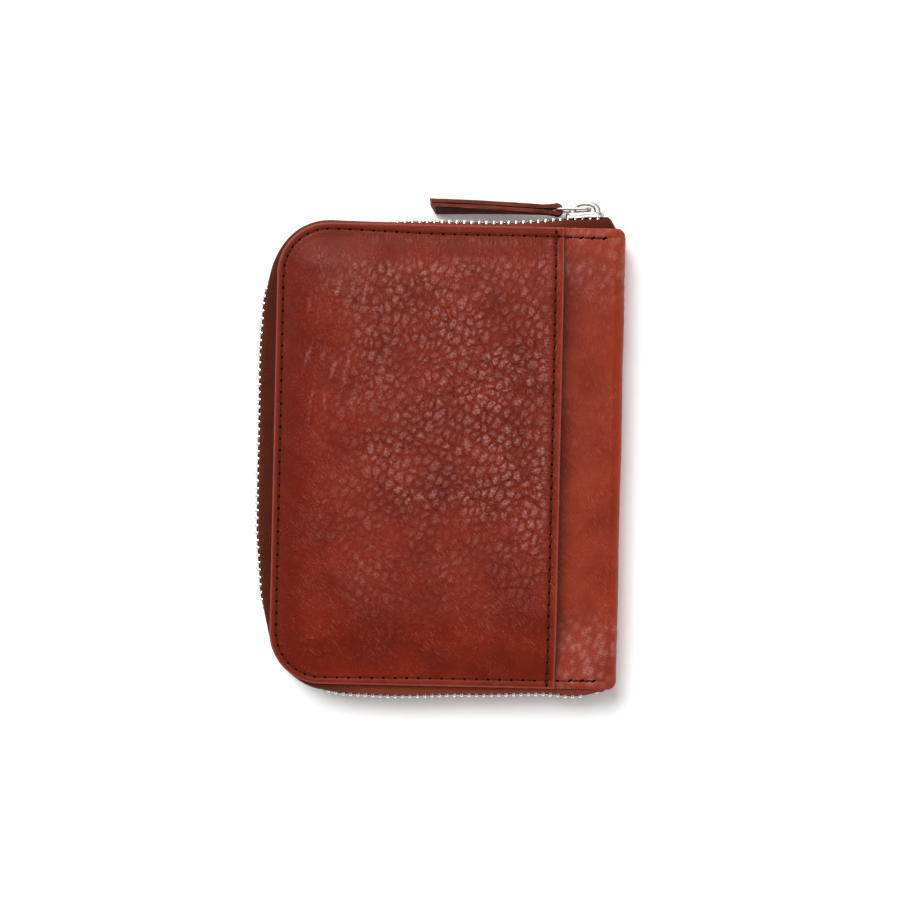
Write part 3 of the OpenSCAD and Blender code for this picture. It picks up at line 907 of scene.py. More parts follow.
def make_flat_panel(node, radii, open_side, seam, body, seed):
    """A pocket leather panel inside the case, sewn on all sides but its open one."""
    low, high = box_mm(node)
    facing_up = body == "back"
    width, length, thick = high - low
    f = close_steps(width, 1.2, fine=0.4, fine_to=3.6) / width
    y = close_steps(length, 1.2, fine=0.4, fine_to=3.6)[:, None] + low[1]
    end = np.minimum(y - low[1], high[1] - y)
    cuts = [r - np.sqrt(np.maximum(r * r - np.clip(r - end, 0, r) ** 2, 0)) for r in radii]
    x0, x1 = low[0] + cuts[0], high[0] - cuts[1]
    x, y = np.broadcast_arrays(x0 + f * (x1 - x0), y)
    u = panel_distance(x, y, low, high, radii)
    mouth = (high[0] - x) if open_side == "x" else (high[1] - y)
    sewn = -SEAM_DENT * hump(u, seam, 0.35) * ramp_up(mouth, 1.0, 3.0)
    fold = 0.10 * hump(mouth, 0.9, 0.7) - 0.14 * hump(mouth, seam, 0.35)
    relief = 0.035 * pebbles(x, y, 1.9, seed) + 0.05 * soft_noise(x, y, 12, seed + 1)
    h = sewn + fold + relief * ramp_up(u, 0.3, 3) - 0.06 - edge_drop(u, thick / 2)
    if facing_up:
        face, other = high[2] + h, low[2]
    else:
        face, other = low[2] - h, high[2]
    points, faces = closed_sheet(points_at(x, y, face), points_at(x, y, other))
    if not facing_up:
        faces = [q[::-1] for q in faces]
    sew_panel(node, radii, open_side, seam, body)
    marks = even_marks(x.shape, grain=0.1, rubbed=0.8 * ramp_up(-mouth, -1.2, 0))
    name = f"{node}_leather"
    piece = make(name, points, faces, pocket_leather, "pocket_leather", doubled(marks))
    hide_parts(node)
    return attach(piece, body)


# ------------------------------------------------------------------ seams


def tube_rings(path, radius, sides):
    """Rings of points round a path; radius may change along it."""
    along = unit(np.gradient(path, axis=0))
    up = np.where(np.abs(along[:, 2:3]) > 0.9, [[1.0, 0, 0]], [[0, 0, 1.0]])
    side = unit(np.cross(up, along))
    over = np.cross(along, side)
    a = circle(sides)[None, :, None]
    round_path = np.cos(a) * side[:, None, :] + np.sin(a) * over[:, None, :]
    return path[:, None, :] + radius[:, None, None] * round_path


def capped(n, m):
    """Faces of a closed tube through n rings of m points, with flat caps."""
    faces = [f[::-1] for f in grid_faces(n, m, wrap=True)]
    return faces + [list(range(m)), [(n - 1) * m + k for k in range(m - 1, -1, -1)]]


class Pile:
    """Points and faces of many small shapes that make one piece."""

    def __init__(self):
        self.points, self.faces, self.rest, self.count = [], [], [], 0

    def add(self, points, faces, rest=None):
        points = np.asarray(points, float).reshape(-1, 3)
        self.faces += [[k + self.count for k in f] for f in faces]
        self.points.append(points)
        self.rest.append(points if rest is None else np.asarray(rest, float).reshape(-1, 3))
        self.count += len(points)

    def add_rings(self, rings, rest=None):
        self.add(rings, capped(*rings.shape[:2]), rest)

    def make(self, name, material, slot, **more):
        points, rest = np.concatenate(self.points), np.concatenate(self.rest)
        return make(name, points, self.faces, material, slot, rest=rest, **more)

    def make_half(self, name, back, **more):
        """The pile as a half's zip metal, mirrored if it is on the back."""
        points, faces = mirrored(np.concatenate(self.points), self.faces, back)
        return make(name, points, faces, polished, "zip_metal", **more)


def add_stitches(threads, places, up, proud=0.0, slant=0.0):
    """Thread from hole to hole along places, sinking into the leather at each one."""
    t = np.linspace(0, 1, 9)
    lift = (0.24 + proud) * np.sin(np.pi * t) ** 0.6 - THREAD_R
    radius = (THREAD_R + 0.4 * proud) * (0.75 + 0.25 * np.sin(np.pi * t))
    for k, (a, b) in enumerate(zip(places[:-1], places[1:])):
        run = b - a
        length = np.linalg.norm(run)
        if length > 1.5 * STITCH_PITCH:
            continue
        aside = np.cross(up, run) / length * slant
        path = a + (0.12 + 0.76 * t)[:, None] * run + lift[:, None] * up
        path = path + (2 * t - 1)[:, None] * aside
        rings = tube_rings(path, radius, THREAD_SIDES)
        rest = np.zeros(rings.shape)
        rest[..., 0] = np.linspace(0, length, len(t))[:, None]
        rest[..., 1] = np.linspace(0, 1.4, THREAD_SIDES, endpoint=False)
        rest[..., 2] = k * 0.37
        threads.add_rings(rings, rest)


def add_holes(holes, places, up, height):
    """A dark oval plug at each needle hole, let a little way into the leather: painted shade in the
    hole.
    """
    direction = unit(np.gradient(places, axis=0))
    side = np.cross(up, direction)
    a = circle(HOLE_SIDES)[:, None]
    top = list(range(HOLE_SIDES))
    bottom = [j + HOLE_SIDES for j in top]
    after = top[1:] + top[:1]
    walls = [[j + HOLE_SIDES, n + HOLE_SIDES, n, j] for j, n in zip(top, after)]
    for k, place in enumerate(places):
        long, wide = 0.50 + 0.08 * lattice(k, 3, 9), 0.34 + 0.05 * lattice(k, 5, 9)
        rim = place + long * np.cos(a) * direction[k] + wide * np.sin(a) * side[k]
        rim[:, 2] = height(rim[:, 0], rim[:, 1]) + 0.04 * up[2]
        foot = rim - HOLE_DEPTH * up
        holes.add(np.concatenate([rim, foot]), walls + [top, bottom[::-1]])


def border_places(s, height):
    """Places on the border seam at distances s along the case's three edges."""
    x, y = route(s, 0)
    x, y = route(s, -seam_inset(x, y))
    return points_at(x, y, height(x, y))


def front_cover_height(x, y):
    return TOP_Z + cover_height(x, y, border_distance(x, y), seam_inset(x, y))


def back_cover_height(x, y):
    return -cover_height(2 * UNROLLED - x, y, border_distance(x, y), seam_inset(x, y))


def make_seams():
    """The two border seams and the seam of the slip pocket's hem, with their needle holes."""
    up = np.array([0, 0, 1.0])
    piles = {name: (Pile(), Pile()) for name in ("front", "back", "hem")}

    def sew(name, places, up, height, **look):
        threads, holes = piles[name]
        add_stitches(threads, places, up, **look)
        add_holes(holes, places, up, height)

    seam_end, lap = 4.0, 0.6
    count = int((ROUTE_L - 2 * seam_end) / STITCH_PITCH)
    s = seam_end + np.arange(count + 1) * STITCH_PITCH
    on_pocket = route(s, 0)[0] < MOUTH_X - 0.3
    first = np.argmax(on_pocket)
    past = len(s) - np.argmax(on_pocket[::-1])
    places = border_places(s, front_cover_height)
    places[first:past] = border_places(s[first:past], pocket_height)
    sew("front", places[:first], up, front_cover_height)
    sew("front", places[first:past], up, pocket_height)
    sew("front", places[past:], up, front_cover_height)
    for k in (first - 1, past - 1):
        add_stitches(piles["front"][0], places[k : k + 2], up, proud=0.25)
    for near in (s[0], s[-1] - 2 * STITCH_PITCH):
        lapped = border_places(near + np.arange(3) * STITCH_PITCH + lap, front_cover_height)
        lapped[:, 1] -= 0.35 * np.sign(lapped[:, 1])
        sew("front", lapped, up, front_cover_height)
    sew("back", border_places(s, back_cover_height), -up, back_cover_height)
    y = np.arange(-HALF_L + 1.2, HALF_L - 1.0, STITCH_PITCH)
    x = np.full(y.shape, MOUTH_X - HEM_SEAM)
    sew("hem", points_at(x, y, pocket_height(x, y)), up, pocket_height, proud=0.30, slant=0.20)

    for name, thread_name, node, body in (
        ("front", "front_border_thread", "front_stitching", "front"),
        ("back", "back_border_thread", "back_stitching", "back"),
        ("hem", "hem_thread", "slip_pocket_stitching", "front"),
    ):
        piece = piles[name][0].make(thread_name, thread, "thread")
        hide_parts(node)
        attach(piece, body)
    for name, body in (("front", "front"), ("back", "back"), ("hem", "front")):
        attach(piles[name][1].make(f"{name}_needle_holes", hole_shade, "thread"), body)


def rounded_seam(low, high, radii, open_side, seam):
    """Places along a panel's sewn sides, from one end of its mouth round to the other."""
    short = 1.2
    r_left, r_right = (max(r - seam, 0.3) for r in radii)
    x0, x1, y0, y1 = low[0] + seam, high[0] - seam, low[1] + seam, high[1] - seam
    quarter = np.radians(np.linspace(0, 90, 9))
    begin, finish = 1 - np.cos(quarter), 1 - np.sin(quarter)
    low_left = np.stack([x0 + r_left * begin, y0 + r_left * finish], -1)
    if open_side == "x":
        mouth = high[0] - short
        top_left = np.stack([x0 + r_left * finish, y1 - r_left * begin], -1)
        path = [[(mouth, y1)], top_left, low_left, [(mouth, y0)]]
    else:
        mouth = high[1] - short
        low_right = np.stack([x1 - r_right * finish, y0 + r_right * begin], -1)
        path = [[(x0, mouth)], low_left, low_right, [(x1, mouth)]]
    path = np.concatenate(path)
    run = np.concatenate([[0], np.cumsum(np.hypot(*np.diff(path, axis=0).T))])
    s = np.linspace(0, run[-1], int(run[-1] / PANEL_STITCH_PITCH) + 1)
    return np.interp(s, run, path[:, 0]), np.interp(s, run, path[:, 1])


def sew_panel(node, radii, open_side, seam, body):
    """The thread of an inner pocket's seam, on the panel's open face."""
    low, high = box_mm(node)
    sunk = 0.20
    face, side = (high[2] - sunk, 1.0) if body == "back" else (low[2] + sunk, -1.0)
    x, y = rounded_seam(low, high, radii, open_side, seam)
    threads = Pile()
    add_stitches(threads, points_at(x, y, face), np.array([0, 0, side]), proud=0.06)
    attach(threads.make(f"{node}_leather_thread", thread, "thread"), body)


# ------------------------------------------------------------------ zip

slider_low, slider_high = box_mm("slider_body")
joints = {j["name"]: j for j in frame["joints"]}
run_axis = joints["slider_run"]["axis"]

SLIDER = (slider_low + slider_high) / 2
SLIDER_S = zip_end_x - SLIDER[0]
SLIDER_BULGE = SLIDER[1] - HALF_L
SLOPE = math.atan2(-run_axis[1], -run_axis[0])
STOP_S = zip_end_x - 52.4
END_BOX_S = ROUTE_L - 3.4
FIRST_TOOTH = zip_end_x - 49
TOOTH_COUNT = int((ROUTE_L - FIRST_TOOTH - 6) / TOOTH_PITCH)

# Distance along the route, and how far the chain stands out of the leather's edge there.
BULGE_KNOTS = np.array(
    [
        (0, 0.0),
        (STOP_S, SLIDER_BULGE + 0.2),
        (SLIDER_S, SLIDER_BULGE),
        (SLIDER_S + 6, SLIDER_BULGE - 0.3),
        (zip_end_x - 28, 1.3),
        (zip_end_x - 15, 0.65),
        (zip_end_x + 12, 0.6),
        (zip_end_x + 30, 0.7),
        (TOP_RUN - 4, 0.8),
        (LEFT_START - 10, 1.0),
        (LEFT_START + 12, 4.2),
        (LEFT_START + 26, 4.9),
        (LEFT_START + 60, 4.8),
        (LEFT_END - 34, 4.6),
        (LEFT_END - 14, 3.1),
        (LEFT_END + 6, -0.2),
        (BOTTOM_START - 14, 0.0),
        (BOTTOM_START + 8, 2.9),
        (BOTTOM_START + 22, 3.4),
        (BOTTOM_START + 50, 2.4),
        (BOTTOM_START + 76, 1.5),
        (ROUTE_L - 11, 2.3),
        (ROUTE_L, 0.0),
    ]
)
STRAIGHT = (1, 5)  # from the first to the last of these stretches the chain runs straight


def bulge(s):
    """How far the chain stands out of the leather's edge at distance s along it."""
    knots = BULGE_KNOTS
    k = np.clip(np.searchsorted(knots[:, 0], s, side="right") - 1, 0, len(knots) - 2)
    a, b = knots[k], knots[k + 1]
    straight = (k >= STRAIGHT[0]) & (k <= STRAIGHT[1])
    t = (s - a[..., 0]) / (b[..., 0] - a[..., 0])
    return a[..., 1] + (b[..., 1] - a[..., 1]) * np.where(straight, t, ease(t))


def smooth_bulge(s):
    """The same, averaged over a few millimetres so that the tape has no kinks."""
    reach = np.array([-4.0, -2.5, -1.2, 0.0, 1.2, 2.5, 4.0])
    past_slider = ramp_up(s, SLIDER_S + 2, SLIDER_S + 12)
    near = reach[None, :] * np.maximum(past_slider, 0.05)[:, None]
    return bulge(np.clip(s[:, None] + near, 0, ROUTE_L)).mean(1)


TAPE_END = 1.7


def tuck(s):
    """How far the chain is folded in under the tape round the two free corners."""
    top = ramp_up(s, zip_end_x + 14, zip_end_x + 26) * ramp_up(-s, -LEFT_START - 8, 2 - LEFT_START)
    low = ramp_up(s, LEFT_END - 14, LEFT_END) * ramp_up(-s, -BOTTOM_START - 8, 6 - BOTTOM_START)
    return 1.3 * (top + low)


def parting(s):
    """How far each row is lifted off the chain's middle: most in the slider's nose."""
    nose = 1.8 * ease((SLIDER_S - s + 1) / 4.5)
    closed = np.maximum(ramp_up(-s, -3.0, TAPE_END), ramp_up(s, ROUTE_L - 2, ROUTE_L + TAPE_END))
    return nose * (1 - closed) - 0.8 * closed


TAPE_HALF_T = 0.2
CORD_TOP = 2.75
# How far below the cord's top, and half its width there.
CORD = (
    (0.06, 0.42), (0.22, 0.66), (0.5, 0.82), (0.9, 0.88), (1.3, 0.82), (1.6, 0.62), (1.76, 0.35)
)


def tape_section(p, lift, tucked):
    """Centre line of a half's tape across the route: sewn edge, fold, and beaded edge.

    p is how far its fold stands out; lift and tucked move its beaded edge up and in.
    """
    level = MID_Z - LEATHER_T - 0.28
    bend_r = 1.7
    sewn_edge = 6.4
    top = level - bend_r
    d, h = [], []
    for share, rise in ((0.0, 0.0), (0.35, 0.0), (0.6, 0.0), (0.85, 0.03)):
        d.append((p - bend_r + sewn_edge) * share - sewn_edge)
        h.append(np.full(p.shape, level + rise))
    for a in np.radians(np.linspace(90, 0, 7)):
        d.append(p - bend_r + bend_r * np.cos(a))
        h.append(np.full(p.shape, top + bend_r * np.sin(a)))
    for share in (0.4, 0.8, 1.0):
        d.append(p - tucked * share)
        h.append(top + (CORD_TOP + lift - top) * share)
    thick = [TAPE_HALF_T] * len(d) + [half for _, half in CORD]
    for fall, _ in CORD:
        d.append(p - tucked)
        h.append(CORD_TOP + lift - fall)
    return np.stack(d, 1), np.stack(h, 1), np.array(thick)


def both_sides(near, far):
    """Columns of one side of a strip, then those of the other side on the way back."""
    return np.concatenate([near, far[:, ::-1]], 1)


def make_tape(back):
    """A half's folded tape along the whole route, pulled in beyond the route's two ends."""
    pulled_in = 2.2
    body = "back" if back else "front"
    s = np.concatenate(
        [
            np.linspace(-TAPE_END, TOP_RUN, 100),
            np.linspace(TOP_RUN, BOTTOM_START, 190)[1:],
            np.linspace(BOTTOM_START, ROUTE_L + TAPE_END, 100)[1:],
        ]
    )
    beyond = np.maximum(ramp_up(-s, -1.2, TAPE_END), ramp_up(s, ROUTE_L - 1.2, ROUTE_L + TAPE_END))
    p = smooth_bulge(s) + 0.06 * soft_noise(s, 0 * s, 6, 81) - pulled_in * beyond
    d, h, thick = tape_section(p, parting(s), tuck(s))
    h = h + 0.05 * soft_noise(s[:, None], d, 5, 83) * ramp_up(d, -1.5, 0)
    along_d, along_h = np.gradient(d, axis=1), np.gradient(h, axis=1)
    size = np.hypot(along_d, along_h)
    off_d, off_h = -along_h / size * thick, along_d / size * thick
    d, h = both_sides(d + off_d, d - off_d), both_sides(h + off_h, h - off_h)
    rings = points_at(*route(s[:, None], d), MID_Z + h)
    points, faces = mirrored(rings.reshape(-1, 3), capped(*d.shape), back)

    arc = np.cumsum(size, 1)
    arc = both_sides(arc, arc)
    rest = points_at(s[:, None], arc, 0)
    # Paler along the top run and most along the bottom run, where the paler colour is painted
    # light.
    tone_and_painted_light = 0.7 * ramp_up(s, 2, 40) * ramp_up(-s, -LEFT_START, 20 - TOP_RUN)
    tone_and_painted_light = tone_and_painted_light + ramp_up(s, BOTTOM_START - 10, BOTTOM_START + 20)
    marks = {"tone_and_painted_light": np.broadcast_to(tone_and_painted_light[:, None], arc.shape)}
    name = f"{body}_tape"
    piece = make(name, points, faces, tape_cloth, "zip_tape", marks, rest, sharp=60)
    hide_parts(f"{body}_zip_tape")
    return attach(piece, body)


# Height above the chain's middle, and half the tooth's width along and across the zip.
TOOTH = (
    (-0.90, 0.28, 0.80),
    (-0.75, 0.38, 1.10),
    (-0.25, 0.46, 1.28),
    (0.55, 0.46, 1.30),
    (0.85, 0.38, 1.15),
    (1.25, 0.40, 1.16),
    (1.60, 0.48, 1.34),
    (2.80, 0.52, 1.46),
    (3.08, 0.43, 1.18),
    (3.20, 0.30, 0.90),
)


def tooth_rings():
    """Rings of an eight-sided tooth: x along the zip, y out of the case, z up."""
    rings = []
    for z, a, b in TOOTH:
        c = 0.35 * a
        outer = [(a, b - c), (a - c, b), (c - a, b), (-a, b - c)]
        rings.append([(x, y, z) for x, y in outer] + [(x, -y, z) for x, y in outer[::-1]])
    return np.array(rings)


def place_on_route(rings, s, lift=0.0):
    """A small shape set on the chain at distance s along the route."""
    at = np.array([s])
    x, y = route(at, smooth_bulge(at) - tuck(at))
    a = facing(at)[0] - math.pi / 2
    c, n = math.cos(a), math.sin(a)
    placed_x = c * rings[..., 0] - n * rings[..., 1] + x[0]
    placed_y = n * rings[..., 0] + c * rings[..., 1] + y[0]
    return points_at(placed_x, placed_y, rings[..., 2] + MID_Z + lift)


def make_teeth(back):
    """A half's row of teeth; the back row is half a pitch on from the front row."""
    body = "back" if back else "front"
    pile = Pile()
    shape = tooth_rings()
    for k in range(TOOTH_COUNT):
        s = FIRST_TOOTH + k * TOOTH_PITCH + (TOOTH_PITCH / 2 if back else 0)
        pile.add_rings(place_on_route(shape, s, parting(np.array([s]))[0]))
    piece = pile.make_half(f"{body}_teeth", back, sharp=30)
    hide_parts(f"{body}_zip_teeth")
    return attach(piece, body)


def squared(v, power):
    """A sine or cosine bent towards a square: the smaller the power, the squarer."""
    return np.sign(v) * np.abs(v) ** power


def clamp_rings(half_x, half_y, low, high):
    """A pinched metal clamp with rounded corners, standing from low to high."""
    a = circle(16)
    x, y = half_x * squared(np.cos(a), 0.5), half_y * squared(np.sin(a), 0.5)
    rings = []
    for t, k in ((0.0, 0.72), (0.12, 0.93), (0.3, 1.0), (0.7, 1.0), (0.88, 0.93), (1.0, 0.72)):
        rings.append(points_at(k * x, k * y, low + t * (high - low)))
    return np.array(rings)


def make_stops():
    """A clamp on each tape's top end, and one box round both rows at the other end."""
    for body, back in (("front", False), ("back", True)):
        pile = Pile()
        clamp = clamp_rings(half_x=0.75, half_y=0.68, low=1.5, high=4.2)
        pile.add_rings(place_on_route(clamp, STOP_S))
        piece = pile.make_half(f"{body}_stop", back)
        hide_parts(f"{body}_top_stop")
        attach(piece, body)
    pile = Pile()
    box = clamp_rings(half_x=0.9, half_y=1.3, low=-2.4, high=2.1)
    pile.add_rings(place_on_route(box, END_BOX_S))
    piece = pile.make("end_box", polished, "zip_metal")
    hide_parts("bottom_stop")
    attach(piece, "back")


# ------------------------------------------------------------------ slider and pull

HALF_SLIDER = 6.4  # half the shields' length
CHANNEL = 1.35  # half the space between the shields
PLATE_T = 1.2
SHIELD_BEVEL, LIP_BEVEL, POST_BEVEL = 0.32, 0.08, 0.1
LIP = (
    (-6.2, 3.05), (-1.3, 3.2), (2.2, 4.35), (5.2, 4.35), (6.2, 3.3),
    (6.3, 3.9), (5.4, 4.95), (2.0, 4.9), (-1.5, 3.8), (-6.3, 3.65),
)
POST = ((3.4, 0.0), (4.4, 0.6), (6.2, 0.6), (6.2, -0.6), (4.4, -0.6))


def from_slider(points):
    """Slider coordinates (x to the nose, y out of the case, z up) to the row frame."""
    c, s = math.cos(SLOPE), math.sin(SLOPE)
    x = SLIDER[0] + c * points[..., 0] - s * points[..., 1]
    y = SLIDER[1] + s * points[..., 0] + c * points[..., 1]
    return points_at(x, y, SLIDER[2] + points[..., 2])


def rounded_outline(corners, r, n=5):
    """A closed outline whose corners are rounded to about radius r."""
    corners = np.asarray(corners, float)
    out = []
    for k, c in enumerate(corners):
        before, after = corners[k - 1] - c, corners[(k + 1) % len(corners)] - c
        cut = min(r, 0.45 * np.linalg.norm(before), 0.45 * np.linalg.norm(after))
        a = c + cut * before / np.linalg.norm(before)
        b = c + cut * after / np.linalg.norm(after)
        for t in np.linspace(0, 1, n):
            out.append((1 - t) ** 2 * a + 2 * t * (1 - t) * c + t * t * b)
    return np.array(out)


def bevelled_plate(outline, y0, y1, bevel):
    """An outline in the slider's x-z plane, made into a plate with rounded edges."""
    centre = outline.mean(0)
    reach = np.abs(outline - centre).max(0)
    turn = np.linspace(0, math.pi / 2, 5)
    rings = []
    for start, side, angles in ((y0, 1, turn), (y1, -1, turn[::-1])):
        for a in angles:
            y = start + side * bevel * (1 - math.cos(a))
            k = 1 - bevel * (1 - math.sin(a)) / reach
            x, z = (centre + k * (outline - centre)).T
            rings.append(points_at(x, y, z))
    return np.array(rings)


def shield_outline():
    """Wider at the nose, where the rows part, than at the tail."""
    x, nose, tail = HALF_SLIDER, 5.0, 3.7
    rear = [(-x, tail - 1.0), (-x + 1.0, tail), (-1.4, tail + 0.15)]
    half = rear + [(1.8, nose - 0.15), (3.2, nose), (x - 1.0, nose - 0.2), (x, nose - 1.7)]
    return rounded_outline(half + [(a, -b) for a, b in reversed(half)], 0.9)


def make_slider():
    """Two shields, the lips along their edges and the post between them."""
    plates = []
    for y0 in (CHANNEL, -CHANNEL - PLATE_T):
        plates.append((shield_outline()[::-1], y0, y0 + PLATE_T, SHIELD_BEVEL))
    for side in (-1, 1):
        lip = rounded_outline([(a, side * b) for a, b in LIP], 0.25, 3)[::side]
        for y0, y1 in ((CHANNEL - 0.6, CHANNEL + 0.3), (-CHANNEL - 0.3, -CHANNEL + 0.6)):
            plates.append((lip, y0, y1, LIP_BEVEL))
    plates.append((rounded_outline(POST, 0.3, 4), -CHANNEL - 0.1, CHANNEL + 0.1, POST_BEVEL))
    pile = Pile()
    for plate in plates:
        pile.add_rings(from_slider(bevelled_plate(*plate)))
    piece = pile.make("slider_shields", satin, "slider_metal", sharp=35)
    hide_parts("slider_body")
    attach(piece, "slider")


def make_bridge():
    """The arch over the outer shield, thick at its feet and thin on top."""
    a = np.radians(np.linspace(180, 0, 41))
    bow = squared(np.cos(a), 0.8)
    outer = np.stack([0.1 + 5.4 * bow, 4.2 * np.sin(a) ** 0.75], -1)
    inner = np.stack([0.2 + 3.15 * bow, 0.45 + 2.3 * np.sin(a) ** 0.8], -1)
    inner[0, 1] = inner[-1, 1] = 0.1
    middle, reach = (outer + inner) / 2, (outer - inner) / 2
    b = circle(20)
    radial, across = squared(np.cos(b), 0.6), 1.2 * squared(np.sin(b), 0.6)
    section = middle[:, None, :] + radial[None, :, None] * reach[:, None, :]
    foot_y = CHANNEL + PLATE_T - 0.15
    rings = points_at(section[..., 0], foot_y + section[..., 1], across)
    pile = Pile()
    pile.add_rings(from_slider(rings[:, ::-1]))
    piece = pile.make("slider_arch", satin, "slider_metal", sharp=50)
    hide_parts("slider_bridge")
    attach(piece, "slider")


RING_BAR = np.array(joints["ring_swing"]["pos_m"]) / MM
TAB_BAR = np.array(joints["tab_swing"]["pos_m"]) / MM
RING_L = np.linalg.norm(RING_BAR - TAB_BAR)
RING_X = (RING_BAR - TAB_BAR) / RING_L
RING_Z = -np.array(joints["ring_swing"]["axis"])
RING_Y = np.cross(RING_Z, RING_X)
WIRE_R = 0.5
WIRE_SIDES = 16


def from_ring(points, origin):
    """Ring coordinates (x along the ring, y out of the case, z up its bars) to the row frame."""
    x, y, z = points[..., :1], points[..., 1:2], points[..., 2:]
    return origin + x * RING_X + y * RING_Y + z * RING_Z


def right_of(steps):
    """Unit directions to the right of a flat path, from its steps ahead."""
    ahead = unit(steps)
    return np.stack([ahead[:, 1], -ahead[:, 0]], -1)


def make_ring():
    """A closed wire ring with rounded corners."""
    half_l, half_h, r = RING_L / 2, 4.2, 1.5
    path = []
    for across, up, start in ((1, 1, 0), (-1, 1, 90), (-1, -1, 180), (1, -1, 270)):
        for a in np.radians(np.linspace(start, start + 90, 10)):
            x = across * (half_l - r) + r * math.cos(a)
            path.append((x, up * (half_h - r) + r * math.sin(a)))
    path = np.array(path)
    out = right_of(np.roll(path, -1, 0) - np.roll(path, 1, 0))
    b = circle(WIRE_SIDES)
    plane = path[:, None, :] + WIRE_R * np.cos(b)[None, :, None] * out[:, None, :]
    points = points_at(plane[..., 0] - half_l, WIRE_R * np.sin(b), plane[..., 1])
    faces = grid_faces(len(path), WIRE_SIDES, wrap=True)
    last = (len(path) - 1) * WIRE_SIDES
    for j in range(WIRE_SIDES):
        after = (j + 1) % WIRE_SIDES
        faces.append([last + j, last + after, after, j])
    faces = [f[::-1] for f in faces]
    piece = make("ring_wire", from_ring(points, RING_BAR), faces, satin, "slider_metal")
    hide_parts("pull_ring")
    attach(piece, "ring")


TAB_L = 43.2
TAB_W = 7.0
LAYER_T = 1.55
LOOP_R = 1.32
NECK = 5.2  # from the bar to where the layers meet
TAB_SPLAY = math.radians(2.9)
TAB_TWIST = math.radians(17)
TAB_BOW = 0.21
FRAY_R = 0.09


def pull_path():
    """Middle line of the folded strip: in along the lower layer, round the bar, and out."""
    half = LAYER_T / 2 + 0.03
    a = np.radians(np.linspace(-128, 128, 40))
    loop = np.stack([LOOP_R * np.cos(a), LOOP_R * np.sin(a)], -1)
    t = np.linspace(0, 1, 14)[1:]
    run_x = np.linspace(-NECK, -TAB_L, 60)[1:]
    layers = []
    for side, start in ((-half, loop[0]), (half, loop[-1])):
        x = np.append(start[0] + (-NECK - start[0]) * t, run_x)
        y = np.append(start[1] + (side - start[1]) * ease(t), np.full(run_x.shape, side))
        layers.append(np.stack([x, y], -1))
    lower, upper = layers
    return np.concatenate([lower[::-1], loop, upper])


def splayed(x, y, z):
    """Places on the pull, which stands a little further out of the case at its free end."""
    c, s = math.cos(-TAB_SPLAY), math.sin(-TAB_SPLAY)
    return from_ring(points_at(c * x - s * y, s * x + c * y, z), TAB_BAR)


def make_pull():
    """One strip of leather folded round the ring: two layers that meet past the loop."""
    path = pull_path()
    out = right_of(np.gradient(path, axis=0))
    arc = np.concatenate([[0], np.cumsum(np.linalg.norm(np.diff(path, axis=0), axis=1))])
    w = np.linspace(-1, 1, 15)
    half_t = LAYER_T / 2 * (1 - 0.18 * np.abs(w) ** 10)
    rough = 0.07 * soft_noise(arc[:, None], w[None, :] * 3.5, 2.2, 91)
    strip_w = np.concatenate([w, w[::-1]])
    strip_t = np.concatenate([half_t, -half_t[::-1]])
    offset = strip_t[None, :] + both_sides(rough, -rough) * 0.6
    x = path[:, :1] + out[:, :1] * offset
    y = path[:, 1:] + out[:, 1:] * offset
    z = TAB_W / 2 * (1 + 0.02 * soft_noise(arc, 0 * arc, 5, 93))[:, None] * strip_w[None, :]

    # The free end is cut aslant and a little rough, and the strip twists towards it.
    far = np.clip((-x - NECK) / (TAB_L - NECK), 0, 1)
    x = x + 2.0 * far**3 * np.clip(0.5 - y / 3.2, 0, 1)
    x = x + 0.15 * soft_noise(y * 3, z, 1.2, 95) * far**8
    c, s = np.cos(TAB_TWIST * far), np.sin(TAB_TWIST * far)
    y, z = y * c + z * s, z * c - y * s
    y = y + TAB_BOW * np.sin(np.pi * far)
    rest = points_at(arc[:, None], strip_w * TAB_W / 2, strip_t)
    pile = Pile()
    pile.add_rings(splayed(x, y, z), rest)
    # Lighter along the strip's edges: partly wear, partly a painted highlight.
    marks = even_marks(x.shape, grain=0.15, rubbed=0.35 * np.abs(strip_w) ** 12)
    piece = pile.make("pull_strip", pull_leather, "pull_leather", marks=marks, sharp=45)
    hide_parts("pull_tab")
    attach(piece, "pull")


# Place along the pull, length, and how far each loose fibre bows out.
FRAYS = ((15.0, 4.2, 0.9), (16.2, 2.4, 1.3), (13.4, 1.6, 0.6), (31.0, 1.2, 0.5))


def make_frays():
    """Loose fibres at the upper edge of the pull's layer nearest the case."""
    t = np.linspace(0, 1, 9)
    pile = Pile()
    for k, (at, long, bow) in enumerate(FRAYS):
        y = -LAYER_T - 0.05 - 0.6 * bow * np.sin(t * math.pi * 0.6)
        z = TAB_W / 2 - 0.3 - 0.4 * k * t
        pile.add_rings(tube_rings(splayed(-at - long * t, y, z), FRAY_R * (1 - 0.7 * t), 6))
    marks = even_marks((pile.count,), rubbed=0.8)
    piece = pile.make("pull_frays", pull_leather, "pull_leather", marks=marks)
    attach(piece, "pull")


# ------------------------------------------------------------------ stage, lights and camera

FLOOR_SIZE = 40  # metres, so that no edge is seen
FLOOR_Z = -0.0003
VIEW_WIDTH = 302.318  # what the picture shows across, at the covers' height
CAMERA_LENS = 100.0
CAMERA_SENSOR = 36.0
PICTURE_CENTRE = (0.8, 1.9, 0)
CASE_TURN = 1.25  # degrees, clockwise as seen


def grey(value):
    return (value, value, value, 1)


def make_stage():
    bpy.ops.mesh.primitive_plane_add(size=FLOOR_SIZE, location=(0, 0, FLOOR_Z))
    floor = bpy.context.object
    floor.name = "floor"
    s = Shader("floor_paper", meshed=False)
    tone = s.mix(s.noise(0.002, 2.0, 0.5), grey(0.93), grey(0.95))
    floor.data.materials.append(s.finish(tone, 0.9, None, IOR=1.1))


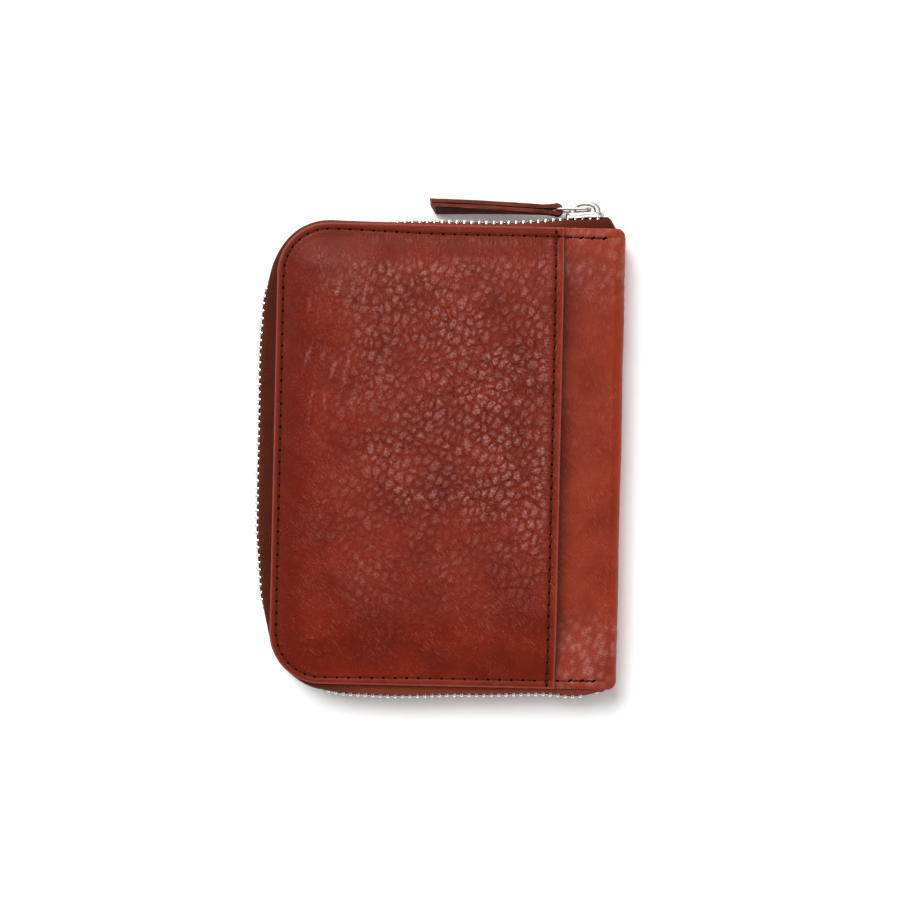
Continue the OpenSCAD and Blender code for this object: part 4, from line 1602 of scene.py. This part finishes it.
def hang(name, data, place, target=(0, 0, 0.01)):
    """A lamp at a place, turned to its target."""
    lamp = bpy.data.objects.new(name, data)
    lamp.location = place
    lamp.rotation_euler = (Vector(target) - Vector(place)).to_track_quat("-Z", "Y").to_euler()
    bpy.context.scene.collection.objects.link(lamp)


def soft_sun(name, place, strength, width_degrees):
    """Parallel light from a broad patch, the same all over the floor."""
    data = bpy.data.lights.new(name, "SUN")
    data.energy = strength
    data.angle = math.radians(width_degrees)
    hang(name, data, place)


def softbox(name, place, size, power):
    data = bpy.data.lights.new(name, "AREA")
    data.shape = "RECTANGLE"
    data.size, data.size_y = size
    data.energy = power
    hang(name, data, place)


def make_world():
    """White all round, bright at the horizon and dim overhead."""
    world = bpy.data.worlds.new("studio")
    bpy.context.scene.world = world
    world.use_nodes = True
    nodes, links = world.node_tree.nodes, world.node_tree.links
    direction = nodes.new("ShaderNodeTexCoord")
    split = nodes.new("ShaderNodeSeparateXYZ")
    dim = nodes.new("ShaderNodeMapRange")
    for key, value in (("From Min", 0.0), ("From Max", 0.9), ("To Min", 1.3), ("To Max", 0.03)):
        dim.inputs[key].default_value = value
    links.new(direction.outputs["Generated"], split.inputs[0])
    links.new(split.outputs["Z"], dim.inputs["Value"])
    links.new(dim.outputs["Result"], nodes["Background"].inputs["Strength"])
    nodes["Background"].inputs["Color"].default_value = grey(1)


def make_lights():
    softbox("overhead", (0.07, 0.06, 1.15), size=(0.34, 0.24), power=2.4)
    soft_sun("key", (-0.42, 0.66, 1.0), strength=3.1, width_degrees=40)
    soft_sun("fill", (0.35, -0.75, 0.80), strength=0.4, width_degrees=60)
    make_world()


def make_camera():
    """Straight above, square to the picture, with the case turned a little clockwise in it."""
    distance = VIEW_WIDTH * CAMERA_LENS / CAMERA_SENSOR
    data = bpy.data.cameras.new("camera")
    data.lens, data.sensor_width = CAMERA_LENS, CAMERA_SENSOR
    data.clip_start, data.clip_end = 0.01, 10
    camera = bpy.data.objects.new("camera", data)
    camera.location = (Vector(PICTURE_CENTRE) + Vector((0, 0, distance + TOP_Z))) * MM
    camera.rotation_euler = (0, 0, math.radians(CASE_TURN))
    bpy.context.scene.collection.objects.link(camera)
    bpy.context.scene.camera = camera


def set_view():
    view = bpy.context.scene.view_settings
    view.view_transform = "Standard"
    view.look = "None"
    view.exposure = 0
    view.gamma = 0.8


# ------------------------------------------------------------------ build

make_camera()
make_stage()
make_lights()
set_view()

make_slip_pocket()
for make_skin in (make_cover, make_lining):
    make_skin("front", back=False)
    make_skin("back", back=True)

make_flat_panel("document_pocket", (11.5, 1.5), open_side="x", seam=1.6, body="back", seed=101)
make_flat_panel("ticket_pocket", (10.5, 1.5), open_side="y", seam=1.4, body="back", seed=111)
for k in range(1, 5):
    node = f"card_slot_{k}"
    make_flat_panel(node, (1.5, 1.5), open_side="y", seam=1.4, body="front", seed=120 + k)

make_seams()
for back in (False, True):
    make_tape(back)
    make_teeth(back)
make_stops()
make_slider()
make_bridge()
make_ring()
make_pull()
make_frays()

for node in ("front_board", "back_board"):
    board = frame["nodes"][node]
    board.data.materials.clear()
    board.data.materials.append(grey_board)
